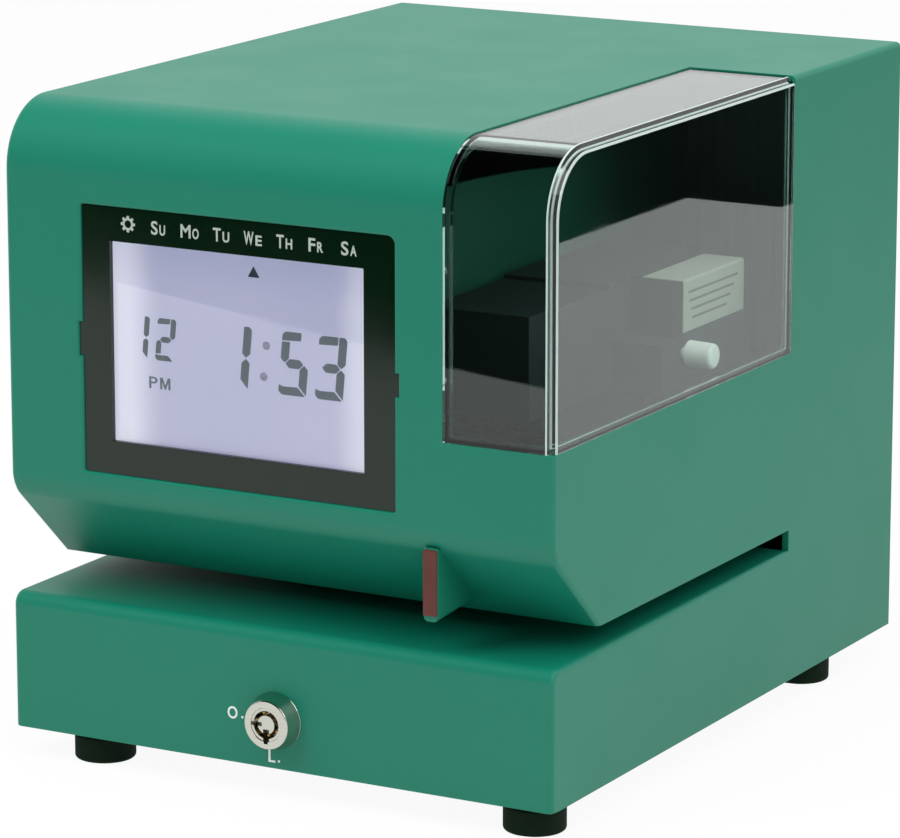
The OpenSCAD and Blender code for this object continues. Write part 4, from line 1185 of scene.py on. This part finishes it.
@dataclass
class WindowCover:
    """The clear corner cover over the cassette.

    Attributes:
        left: x of its left edge in mm, as all its sizes.
        right: x of its right face.
        low: Height of its lower edge.
        high: Height of its top.
        depth: How far it reaches back.
        pane: Thickness of its walls.
        crown: Radius of its upper front edge.
        lap: Thickness of the strips that lie inside the case.
        overlap: How far the strips lie on the cover's walls.
        facet: Width of the flat along its right-hand edge.
    """

    left: float = 66.15
    right: float = 108.0
    low: float = 133.65
    high: float = 234.5
    depth: float = 183.35
    pane: float = 2.5
    crown: float = 23.5
    lap: float = 2.0
    overlap: float = 2.0
    facet: float = 2.7

    def creases(self, *columns: float) -> EdgeTest:
        """Make the test for the edges along the front and the top at some x.

        Args:
            columns: Each x in mm.

        Returns:
            The test.
        """
        return lambda start, end: (
            any(abs(start.x - x) < SAME and abs(end.x - x) < SAME for x in columns)
            and max(start.z, end.z) > self.low + NEAR and min(start.y, end.y) < self.depth - NEAR)

    def shell(self) -> Piece:
        """Build the three walls with round edges.

        Returns:
            The walls as one piece.
        """
        outline = [(0, self.low), (0, self.high), (self.depth, self.high), (self.depth, self.low)]
        solid = side_plate("clear_cover", outline, self.left, self.right)
        bevel(solid, across_at(0, self.high), self.crown, 64)
        bevel(solid, self.creases(self.right), self.facet, 1)
        bevel(solid, self.creases(self.right, self.right - self.facet), 0.4, 3)

        pane, top, back, below = self.pane, self.high - self.pane, self.depth + OVER, self.low - OVER
        hollow = [(pane, below), (pane, top), (back, top), (back, below)]
        inside = side_plate("inside", hollow, self.left - OVER, self.right - pane)
        bevel(inside, across_at(pane, top), self.crown - pane, 64)
        bevel(inside, self.creases(self.right - pane), 0.7, 3)
        cut(solid, inside)
        return solid

    def laps(self) -> list[Piece]:
        """Build the strips along the left, lower and rear edges, which lie behind the case's wall.

        Returns:
            The strips.
        """
        near, far = self.pane - LAP / 2, self.pane + self.lap
        left, right, inner = self.left - OVER, self.right - near, self.right - far
        below, above = self.low - OVER, self.low + self.overlap
        back, ahead = self.depth + OVER, self.depth - self.overlap
        bow = (self.crown, self.high - self.crown)
        rim = [(near, below), *arc(bow, self.crown - near, 180, 90, 12), (back, self.high - near)]
        hollow = [(far, below), *arc(bow, self.crown - far, 180, 90, 12), (back, self.high - far)]
        return [side_plate("left_lap", rim + hollow[::-1], left, self.left + self.overlap),
                box("front_lap", at(left, near, below), at(right, far, above)),
                box("right_lap", at(inner, near, below), at(right, back, above)),
                box("top_lap", at(left, ahead, self.high - far), at(right, back, self.high - near)),
                box("rear_lap", at(inner, ahead, below), at(right, back, self.high - near))]

    def build(self) -> None:
        """Weld the walls and the strips into one clear moulding."""
        cover = self.shell()
        weld(cover, *self.laps())
        finish_mesh(cover)
        smooth(cover)
        place(cover, Surface.CLEAR, Body.CASE, "clear_plastic", "clear_window")
        # The clear walls let the lamps through to the cassette.
        cover.visible_shadow = False


@dataclass(frozen=True)
class Digit:
    """A seven-bar digit of the display.

    Attributes:
        bars: Letters of the dark bars, a to g.
        left: x of its lower left corner in mm, as all its sizes.
        low: Height of its lower edge.
        width: Width without the slant.
        height: Height.
        bar: Thickness of a bar.
        slant: Lean to the right for each mm of height.
        gap: Gap between two bars.
    """

    bars: str
    left: float
    low: float
    width: float
    height: float
    bar: float
    slant: float = 0.095
    gap: float = 0.35

    def outlines(self) -> list[list[Pair]]:
        """List the outlines of the dark bars.

        Returns:
            An outline of x and height for each bar.
        """
        w, h, t, g, m = self.width, self.height, self.bar, self.gap, self.height / 2
        shapes = {
            "a": [(0, h - t), (w - t - g, h - 0.9 * t), (w - t - g, h), (0.35 * t, h), (0, h - 0.35 * t)],
            "b": [(w - t, m + t / 2), (w - t / 2, m + g / 2), (w, m + t / 2), (w, h - 0.35 * t),
                  (w - 0.35 * t, h), (w - t, h)],
            "c": [(w - t, t + g), (w, g), (w, m - t / 2), (w - t / 2, m - g / 2), (w - t, m - t / 2)],
            "d": [(0, 0.4 * t), (0.45 * t, 0), (w - g, 0), (w - t - g, 0.95 * t), (0.5 * t, 0.9 * t),
                  (0, 1.1 * t)],
            "e": [(0, t + g), (t, t + g), (t, m - t / 2), (t / 2, m - g / 2), (0, m - t / 2)],
            "f": [(t / 2, m + g / 2), (0, m + t / 2), (0, h - t - g), (t, h - t - g), (t, m + t / 2)],
            "g": [(t / 2 + g, m), (t + g, m - t / 2), (w - t - g, m - t / 2), (w - t / 2 - g, m),
                  (w - t - g, m + t / 2), (t + g, m + t / 2)]}
        return [[(self.left + x + z * self.slant, self.low + z) for x, z in shapes[bar]] for bar in self.bars]


@dataclass
class Display:
    """The display in the front: a black surround, printed day names, and the lit face behind it.

    Attributes:
        view: Left, right, low and high edge of the view in mm, as all its sizes.
        front: Depth of the surround's face.
        step: Depth where its lip begins.
        back: Depth of its back.
        ink: Thickness of the print.
        face: Depth of the display glass.
        day_base: Height of the line that the day names stand on.
        sun: x and height of the sun sign's middle.
        letter_base: Height of the line that the small letters stand on.
    """

    view: tuple[float, float, float, float] = (-65.8, 35.1, 118.8, 189.5)
    front: float = 1.2
    step: float = 2.5
    back: float = 3.2
    ink: float = 0.08
    face: float = 4.6
    day_base: float = 193.5
    sun: Pair = (-58.1, 196.05)
    letter_base: float = 138.6

    @staticmethod
    def outline(inset: float) -> list[Pair]:
        """Outline of the opening in the case, with its two side tabs.

        Args:
            inset: How far the outline is drawn in, in mm.

        Returns:
            Its x and height, anticlockwise.
        """
        x0, x1, z0, z1 = -77 + inset, 47.5 - inset, 107 + inset, 201.7 - inset
        small, large, tab = 0.8, 3, 1.5
        return [*arc((x0 + small, z0 + small), small, 180, 270, 3),
                *arc((x1 - small, z0 + small), small, 270, 360, 3),
                (x1, 147 + inset), (x1 + tab, 147 + inset), (x1 + tab, 155 - inset), (x1, 155 - inset),
                *arc((x1 - large, z1 - large), large, 0, 90, 6),
                *arc((x0 + small, z1 - small), small, 90, 180, 3),
                (x0, 160 - inset), (x0 - tab, 160 - inset), (x0 - tab, 148 + inset), (x0, 148 + inset)]

    def surround(self) -> None:
        """Build the black surround with a soft edge round the view."""
        x0, x1, z0, z1 = self.view
        face = front_plate("display_surround", self.outline(0.15), self.front, self.back)
        weld(face, front_plate("surround_lip", rounded(-81, 51.5, 103, 205.7, 1.0, 3), self.step, self.back))
        cut(face, front_plate("view_zone", rounded(x0, x1, z0, z1, 0.3, 2), 0, 5))
        bevel(face, both(lambda p: abs(p.y - self.front) < SAME and x0 - 0.2 < p.x < x1 + 0.2
                         and z0 - 0.2 < p.z < z1 + 0.2), 0.12, 1)
        smooth(face)
        place(face, Surface.BEZEL, Body.CASE, "bezel_plastic", "display_bezel")

    def day_names(self) -> None:
        """Print the days and the sun sign on the surround."""
        spans = {"Su": (-48.7, -43.0), "Mo": (-36.8, -29.5), "Tu": (-23.8, -17.3), "We": (-11.6, -4.4),
                 "Th": (1.3, 7.55), "Fr": (13.9, 19.6), "Sa": (26.6, 32.6)}
        line = (self.day_base, self.front - self.ink / 2, self.ink)
        capital, small, half_gap = 4.5, 3.4, 0.35
        pieces = []
        for day, (left, right) in spans.items():
            share = 0.6 if day in ("Mo", "We") else 0.53
            split = left + (right - left) * share
            pieces.append(fit_words(f"day_{day}", day[0], capital, (left, split - half_gap), *line))
            pieces.append(fit_words(f"day_{day}", day[1].upper(), small, (split + half_gap, right), *line))
        tooth = ((2.1, -16), (2.9, -9), (2.9, 9), (2.1, 16))
        outline = [polar(self.sun, r, turn + step) for turn in range(0, 360, 45) for r, step in tooth]
        wheel = front_plate("sun_wheel", outline, self.front - self.ink, self.front)
        cut(wheel, disc("sun_hole", self.sun, 1.35, 0, 3))
        pieces.append(wheel)
        place(join(pieces, "day_names"), Surface.NAME_INK, Body.CASE, "bezel_plastic")

    def digits(self) -> None:
        """Draw the dark figures on the glass, and the pale colon."""
        small, large = (148.7, 7.5, 15.0, 2.1), (142.1, 11.0, 22.1, 3.2)
        figures = [Digit("bc", -60.5, *small), Digit("abged", -49.8, *small),
                   Digit("bc", -23.5, *large), Digit("afgcd", -0.4, *large), Digit("abgcd", 14.1, *large)]
        near, far = self.face - self.ink, self.face
        bars = [front_plate("bar", outline, near, far) for figure in figures for outline in figure.outlines()]
        for bar in bars:
            bevel(bar, along_depth, 0.3, 2)
        mark = front_plate("day_mark", [(-12.0, 181.6), (-7.3, 181.6), (-9.7, 185.5)], near, far)
        bevel(mark, along_depth, 0.2, 2)
        place(mark, Surface.MARK, Body.CHASSIS, "display_glass")
        bars.append(fit_words("half_day", "P", 4.1, (-52.3, -48.9), self.letter_base,
                              self.face - self.ink / 2, self.ink, 0.04))
        # The second letter from its own outline, which stays whole at this weight.
        letter = [(0, 0), (0.85, 0), (0.85, 2.75), (1.85, 0), (2.35, 0), (3.35, 2.75), (3.35, 0), (4.2, 0),
                  (4.2, 4.1), (3.2, 4.1), (2.1, 1.35), (1.0, 4.1), (0, 4.1)]
        bars.append(front_plate("bar", [(x - 47.85, z + self.letter_base) for x, z in letter], near, far))
        place(join(bars, "display_figures"), Surface.SEGMENT, Body.CHASSIS, "display_glass")
        dots = [disc("dot", spot, 1.5, near, far) for spot in ((-4.86, 158.4), (-6.0, 147.5))]
        place(join(dots, "display_colon"), Surface.FAINT, Body.CHASSIS, "display_glass")

    def build(self) -> None:
        """Build the surround and all its print."""
        self.surround()
        self.day_names()
        self.digits()


@dataclass
class Lock:
    """The round-key lock low in the front.

    Attributes:
        height: Height of its axis in mm, as all its sizes.
        proud: How far its face stands out.
        face: Radius of the face.
        edge: Radius of the round at the face's edge.
        flange: Radius of the flange on the case.
        barrel: Radius of the barrel in the case.
        bore: Radius of the plug's bore.
        length: Length of the barrel behind the case's front.
        pin_count: Number of pins.
        pin_ring: Radius of the circle that the pins stand on.
        ink: Thickness of the print.
    """

    height: float = 27.5
    proud: float = 6.5
    face: float = 8.7
    edge: float = 0.5
    flange: float = 10.3
    barrel: float = 8.0
    bore: float = 6.0
    length: float = 20.0
    pin_count: int = 7
    pin_ring: float = 4.15
    ink: float = 0.06

    def body(self) -> None:
        """Build the body with its flared, polished side."""
        front, bore = -self.proud, self.bore
        profile = [(bore, front + 0.1), (bore + 0.1, front),
                   *arc((self.face - self.edge, front + self.edge), self.edge, -90, 0, 4),
                   (self.flange - 0.15, -0.5), (self.flange, -0.3), (self.flange, 0), (self.barrel, 0),
                   (self.barrel, self.length), (bore, self.length), (bore, front + 0.1)]
        points = [at(r, d, self.height) for r, d in profile]
        piece = lathe("lock_barrel", points, at(0, 0, self.height), Axis.Y, 96)
        cut(piece, box("key_slot", at(-0.8, front - 1, self.height - 6.8), at(0.8, -4.2, self.height - 5.5)))
        smooth(piece, 30)
        place(piece, Surface.NICKEL, Body.CASE, "lock_nickel", "lock_body")

    def pins(self) -> None:
        """Build the pins in the key's ring groove."""
        pins = []
        for number in range(self.pin_count):
            x, z = polar((0, self.height), self.pin_ring, 90 + 360 / self.pin_count * (number + 0.5))
            profile = [(0, -4.6), (0.4, -4.6), (0.62, -4.3), (0.62, -1.0), (0, -1.0)]
            pins.append(lathe("pin", [at(x + r, d, z) for r, d in profile], at(x, 0, z), Axis.Y, 16))
        piece = join(pins, "lock_pins")
        smooth(piece)
        place(piece, Surface.BRASS, Body.LOCK, "spacer_brass")

    def marks(self) -> None:
        """Print the two letters that say how the key stands, each with a stop beside it."""
        depth, weight, stop = -self.ink / 2, 0.1, 0.45
        pieces = [fit_words("open_mark", "O", 4.2, (-19.25, -15.25), 25.9, depth, self.ink, weight),
                  fit_words("locked_mark", "L", 4.3, (-2.85, -0.1), 12.4, depth, self.ink, weight),
                  disc("stop", (-13.3, 26.8), stop, -self.ink, 0, 16),
                  disc("stop", (1.33, 13.0), stop, -self.ink, 0, 16)]
        place(join(pieces, "lock_marks"), Surface.PRINT_INK, Body.CASE, "case_plastic")

    def build(self) -> None:
        """Build the body, the pins and the marks."""
        self.body()
        self.pins()
        self.marks()


@dataclass
class Cassette:
    """The ribbon cassette under the clear cover, with its label and its knob.

    Attributes:
        base: Height of its underside in mm, as all its sizes.
        left: x of its left side.
        step: x where the main part ends.
        right: x of its right side.
        height: Height of its rear part.
        label_left: x of the label's left edge.
        label_low: Height of the label's lower edge.
        paper: Thickness of the label.
        fold: Radius of the label's fold.
        knob_axis: Depth and height of the knob's axis.
        knob_radius: Radius of the knob.
        knob_span: x of the knob's left and right end.
    """

    base: float = 128.0
    left: float = 26.0
    step: float = 66.0
    right: float = 86.3
    height: float = 38.5
    label_left: float = 70.4
    label_low: float = 148.0
    paper: float = 0.3
    fold: float = 1.0
    knob_axis: Pair = (136.0, 140.7)
    knob_radius: float = 4.9
    knob_span: Pair = (88.6, 99.1)

    def part(self, name: str, outline: Iterable[Pair], left: float, right: float) -> Piece:
        """Extrude an outline of depth and height above the underside from one x to another."""
        return side_plate(name, [(depth, self.base + z) for depth, z in outline], left, right)

    def body(self) -> None:
        """Build the main part and the right part from their side outlines, with soft edges."""
        top = self.height
        main = self.part("cassette_box", [(62, 0), (62, 37), (118, 37), (118, top), (200, top), (200, 0)],
                         self.left, self.step)
        side = [(119.5, 0), (119.5, 18), (135.1, 18), (135.1, top), (188.0, top), (188.0, 0)]
        weld(main, self.part("cassette_side", side, self.step - LAP, self.right))
        soften(main, 0.8, 3)
        smooth(main)
        place(main, Surface.CASSETTE, Body.CHASSIS, "cassette_plastic", "ribbon_cassette")

    def label(self) -> None:
        """Build the label, which wraps from the top over the edge to the right side."""
        right, top = self.right + self.paper, self.base + self.height + self.paper
        centre = (right - self.fold, top - self.fold)
        outline = [(self.label_left, top), *arc(centre, self.fold, 90, 0, 5), (right, self.label_low),
                   (right - self.paper, self.label_low), *arc(centre, self.fold - self.paper, 0, 90, 5),
                   (self.label_left, top - self.paper)]
        piece = front_plate("cassette_label_wrap", outline, 135.6, 184.6)
        smooth(piece)
        place(piece, Surface.LABEL, Body.CHASSIS, "label_paper", "cassette_label")
        rules = [box("rule", at(right - 0.02, 139.5 + i, z), at(right + 0.04, 179.5 - 3 * i, z + 0.9))
                 for i, z in enumerate((161.6, 158.4, 155.2, 152.0))]
        place(join(rules, "label_rules"), Surface.LABEL_INK, Body.CHASSIS, "label_paper")

    def turned(self, name: str, profile: Iterable[Pair], steps: int) -> Piece:
        """Turn a profile of x and radius round the knob's axis."""
        depth, z = self.knob_axis
        return lathe(name, [at(x, depth + r, z) for x, r in profile], at(0, depth, z), Axis.X, steps)

    def knob(self) -> None:
        """Build the smooth knob with its round end, on the shaft that reaches into the cassette."""
        (start, end), radius, edge, nose = self.knob_span, self.knob_radius, 0.3, 1.4
        profile = [(start, 0), (start, radius - edge), (start + edge, radius),
                   *arc((end - nose, radius - edge - nose), nose, 90, 0, 5), (end, 0)]
        head = self.turned("ribbon_knob_head", profile, 48)
        shaft = self.turned("knob_shaft", [(73, 0), (73, 2), (89, 2), (89, 0)], 24)
        piece = join([head, shaft], "ribbon_knob_head")
        smooth(piece)
        place(piece, Surface.KNOB, Body.KNOB, "knob_plastic", "ribbon_knob")

    def build(self) -> None:
        """Build the cassette, its label and its knob."""
        self.body()
        self.label()
        self.knob()


@dataclass
class Screws:
    """The cross-slotted screws that show on the back and below.

    Attributes:
        head: Radius of a head in mm, as all its sizes.
        rise: Height of a head.
        shank: Radius of the thread.
        slot: Half of the length and half of the width of a slot of the cross.
        columns: x of the three columns of screws.
    """

    head: float = 3.0
    rise: float = 1.8
    shank: float = 1.5
    slot: Pair = (1.7, 0.35)
    columns: tuple[float, float, float] = (-93.5, 26.0, 93.5)

    def screw(self, name: str, spot: Vector, axis: Axis, out: float, length: float) -> Piece:
        """Turn one screw and cut its cross.

        Args:
            name: Name of the new piece.
            spot: Where its head meets the sheet, in metres.
            axis: Its axis.
            out: 1 if its head points along the axis, and -1 if it points back.
            length: Length of its shank in mm.

        Returns:
            The screw.
        """
        side = Vector(Axis.X.value) * MM
        along = Vector(axis.value) * out * MM
        across = Vector(axis.value).cross(side)
        head, rise = self.head, self.rise
        profile = [(0.0, -length), (self.shank, -length), (self.shank, 0.0), (head, 0.0), (head, 0.5),
                   (head * 0.85, rise * 0.72), (head * 0.5, rise * 0.95), (0.0, rise)]
        piece = lathe(name, [spot + side * r + along * h for r, h in profile], spot, axis, 32)
        low, high = spot + along * (rise * 0.45), spot + along * (rise + 1)
        for first, second in ((side, across), (across, side)):
            reach = first * self.slot[0] + second * self.slot[1]
            ends = [low - reach, high + reach]
            cut(piece, box("cross", Vector(map(min, *ends)), Vector(map(max, *ends))))
        smooth(piece)
        return piece

    def build(self) -> None:
        """Build one rear and one lower screw and copy each to its places."""
        rear = [at(x, 270, z) for x in self.columns for z in (28.0, 100.0)]
        lower = [at(x, d, 12) for x in self.columns for d in (70.0, 195.0)]
        for name, spots, axis, out, node, length in (
                ("rear_cross_screws", rear, Axis.Y, 1, "rear_screws", 3.5),
                ("lower_cross_screws", lower, Axis.Z, -1, "base_screws", 4.0)):
            first = self.screw(name, spots[0], axis, out, length)
            copies = [copy_at(first, spot - spots[0]) for spot in spots[1:]]
            place(join([first, *copies], name), Surface.SCREW, Body.CHASSIS, "screw_steel", node)


@dataclass
class VentGauze:
    """The dust gauze on the inside of the rear panel, framed by its glued rim.

    Attributes:
        left: x of its left side in mm, as all its sizes.
        right: x of its right side.
        low: Height of its lower side.
        high: Height of its upper side.
        back: Depth of its back.
        rim: Width of the rim.
        thickness: Thickness of the rim.
        sheet: Thickness of the sheet.
    """

    left: float = -83.0
    right: float = -25.0
    low: float = 124.0
    high: float = 198.0
    back: float = 268.45
    rim: float = 3.0
    thickness: float = 0.8
    sheet: float = 0.3

    def build(self) -> None:
        """Build a plate with round corners and sink the sheet into it, so that a rim stands round it."""
        rim = self.rim
        outer = rounded(self.left, self.right, self.low, self.high, 4)
        inner = rounded(self.left + rim, self.right - rim, self.low + rim, self.high - rim, 2)
        piece = front_plate("vent_gauze", outer, self.back - self.thickness, self.back)
        cut(piece, front_plate("gap", inner, self.back - 2, self.back - self.sheet))
        smooth(piece)
        place(piece, Surface.GAUZE, Body.CHASSIS, "ribbon_cloth")


@dataclass
class Works:
    """The CAD parts of the works, which keep their shapes and get their finishes here.

    Attributes:
        nodes: The frame's CAD nodes by name.
    """

    nodes: dict[str, Piece]

    def dress(self) -> None:
        """Give each part its finish."""
        groups = {
            Surface.LENS: "display_lens",
            Surface.FACE: "display_glass",
            Surface.DIFFUSER: "display_backlight",
            Surface.DISPLAY_BOARD: "display_board",
            Surface.MAIN_BOARD: "main_board",
            Surface.NICKEL: "lock_plug",
            Surface.SHEET: "lock_cam base_plate rear_panel cam_keeper hammer_bracket solenoid_yoke "
                           "trigger_bracket",
            # Painted shade: the frames, bracket, stop and tray inside the case take the darkened sheet steel.
            Surface.SHADED_SHEET: "left_frame right_frame display_bracket card_stop cassette_tray",
            # Painted shade and a painted green cast on the mid frame behind the window.
            Surface.PAINT: "mid_frame",
            Surface.SCREW: "window_screws lock_nut cam_screw bar_screws foot_screws motor_screws backup_cell "
                           "shaft_clips",
            Surface.ROD: "tie_bars type_shaft ribbon_guides hammer_pin trigger_pin plunger drive_motor",
            Surface.RUBBER: "rubber_feet hammer_pad",
            Surface.CORE: "transformer_core",
            Surface.COIL: "transformer_coil solenoid_coil",
            Surface.BRASS: "board_spacers",
            Surface.WHEEL: "minute_wheel hour_wheel date_wheel",
            Surface.IVORY: "drive_pinion shaft_sleeves trigger_lever",
            Surface.HAMMER: "hammer",
            Surface.SWITCH: "cord_bush trigger_switch",
            Surface.RIBBON: "ribbon",
        }
        for surface, names in groups.items():
            for name in names.split():
                for slot in self.nodes[name].material_slots:
                    slot.material = surface.value.make()
            LOG.info("%s: %s", surface.value.name, names)


@dataclass
class Studio:
    """The pale floor, the soft light and the camera.

    Attributes:
        azimuth: Camera's turn to the right of the front in degrees.
        elevation: Its angle above the table in degrees.
        spot: Its place in metres.
        lens: Its focal length in mm.
        target: The point in metres that the lamps face.
        floor_white: How white the floor shows.
        room: Strength of the room's even light.
        wall: y of the dark wall in front, in metres.
        ceiling: Height of the dark ceiling in metres.
    """

    azimuth: float = 29.0759
    elevation: float = 13.0309
    spot: tuple[float, float, float] = (0.83079, -1.50487, 0.50482)
    lens: float = 193.40
    target: tuple[float, float, float] = (0.0, 0.0, 0.12)
    floor_white: float = 0.93
    room: float = 0.55
    wall: float = -2.2
    ceiling: float = 3.6

    def shows_white(self, tree: Tree) -> Socket:
        """Add the test for rays that should see plain white: from the camera, a gloss or a glass.

        Args:
            tree: The node tree.

        Returns:
            1 for such a ray and 0 for others.
        """
        path = add_node(tree, "LightPath").outputs
        total = path["Is Camera Ray"]
        for name in ("Is Glossy Ray", "Is Transmission Ray"):
            total = add_node(tree, "Math", {0: total, 1: path[name]}, operation="MAXIMUM").outputs["Value"]
        return total

    def floor(self) -> None:
        """Lay the floor, which shows almost white and keeps the shadow."""
        clear_selection()
        bpy.ops.mesh.primitive_plane_add(size=8, location=(0, 0, -0.0002))
        plane = bpy.context.object
        plane.name = "studio_floor"
        material = bpy.data.materials.new("pale floor")
        tree = empty_tree(material)
        matt = add_node(tree, "BsdfDiffuse", {"Color": (0.8, 0.8, 0.8, 1)})
        white = add_node(tree, "Emission", {"Color": (1, 1, 1, 1), "Strength": 1.0})
        share = add_node(tree, "Math", {0: self.shows_white(tree), 1: self.floor_white}, operation="MULTIPLY")
        mix = add_node(tree, "MixShader", {
            0: share.outputs["Value"], 1: matt.outputs["BSDF"], 2: white.outputs["Emission"]})
        add_node(tree, "OutputMaterial", {"Surface": mix.outputs["Shader"]})
        plane.data.materials.append(material)

    def flag(self, name: str, points: Sequence[tuple[float, float, float]]) -> None:
        """Set up a dark card that only gloss and glass see, as the unlit room beyond the table.

        Args:
            name: Name of the card.
            points: Its corners in metres.
        """
        card = chain(name, [Vector(point) for point in points], close=True)
        material = bpy.data.materials.new(name)
        tree = empty_tree(material)
        dark = add_node(tree, "Emission", {"Color": (0.01, 0.012, 0.011, 1), "Strength": 1.0})
        add_node(tree, "OutputMaterial", {"Surface": dark.outputs["Emission"]})
        card.data.materials.append(material)
        for ray in ("camera", "diffuse", "volume_scatter", "shadow"):
            setattr(card, f"visible_{ray}", False)

    def flags(self) -> None:
        """Darken what lies beyond the white table: in front, above and on the right."""
        wall, ceiling = self.wall, self.ceiling
        self.flag("front_dark", [
            (-3.5, -1.97, 0), (-0.321, -0.777, 0), (-0.12, -0.72, 0), (0.05, -1.15, 0), (0.6, -1.5, 0),
            (3.5, -2.0, 0), (3.5, wall, 0), (-3.5, wall, 0)])
        self.flag("front_dark_wall", [
            (-3.5, wall, 0), (1.6, wall, 0), (1.6, wall, ceiling), (-3.5, wall, ceiling)])
        self.flag("ceiling_dark", [
            (-3.5, wall, ceiling), (1.6, wall, ceiling), (1.6, 1.5, ceiling), (-3.5, 1.5, ceiling)])
        self.flag("right_dark", [
            (0.6, 0.2, 0), (3.2, 0.2, 0), (3.2, 3.4, 0), (0.54, 3.4, 0), (0.54, 0.962, 0), (0.6, 0.962, 0)])

    def world(self) -> None:
        """Light the room evenly, with a white backdrop for what mirrors it."""
        world = bpy.data.worlds.new("soft room")
        bpy.context.scene.world = world
        tree = empty_tree(world)
        room, white = (add_node(tree, "Background", {"Color": (1, 1, 1, 1), "Strength": strength}).outputs[0]
                       for strength in (self.room, 1.0))
        mix = add_node(tree, "MixShader", {0: self.shows_white(tree), 1: room, 2: white})
        add_node(tree, "OutputWorld", {"Surface": mix.outputs["Shader"]})

    def lamp(self, name: str, spot: tuple[float, float, float], size: float, power: float,
             mirrored: bool = False) -> None:
        """Hang one soft lamp that faces the clock.

        Args:
            name: Name of the lamp.
            spot: Its place in metres.
            size: Side of its square in metres.
            power: Its power in watts.
            mirrored: Whether gloss and glass show it.
        """
        clear_selection()
        bpy.ops.object.light_add(type="AREA", location=spot)
        lamp = bpy.context.object
        lamp.name = name
        lamp.data.size = size
        lamp.data.energy = power
        lamp.visible_glossy = lamp.visible_transmission = mirrored
        lamp.rotation_euler = (Vector(spot) - Vector(self.target)).to_track_quat("Z", "Y").to_euler()

    def camera(self) -> None:
        """Set the camera at the photograph's angle."""
        azimuth, elevation = math.radians(self.azimuth), math.radians(self.elevation)
        back = Vector((math.sin(azimuth) * math.cos(elevation), -math.cos(azimuth) * math.cos(elevation),
                       math.sin(elevation)))
        right = Vector((math.cos(azimuth), math.sin(azimuth), 0))
        turn = Matrix((right, back.cross(right), back)).transposed().to_4x4()
        clear_selection()
        bpy.ops.object.camera_add()
        camera = bpy.context.object
        camera.name = "photo_camera"
        camera.matrix_world = Matrix.Translation(self.spot) @ turn
        camera.data.lens = self.lens
        camera.data.sensor_width = 36
        bpy.context.scene.camera = camera

    def build(self) -> None:
        """Set up the floor, the light and the camera."""
        self.floor()
        self.flags()
        self.world()
        self.lamp("upper_left_lamp", (-1.1, -1.3, 1.7), 1.2, 24)
        self.lamp("upper_right_lamp", (1.6, -0.4, 1.5), 1.2, 11, True)
        self.lamp("overhead_lamp", (0.1, -0.2, 2.0), 1.4, 22)
        self.lamp("right_fill_lamp", (1.7, 0.0, 0.2), 0.8, 3)
        self.camera()
        bpy.context.scene.view_settings.view_transform = "Standard"


def main() -> None:
    logging.basicConfig(level=logging.INFO, format="%(name)s %(message)s")
    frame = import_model()
    for assembly in (Case(), Pointer(), WindowCover(), Display(), Lock(), Cassette(), VentGauze(), Screws()):
        LOG.info("building %s", type(assembly).__name__)
        assembly.build()
    Works(frame["nodes"]).dress()
    Studio().build()
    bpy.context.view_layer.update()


if __name__ == "__main__":
    main()
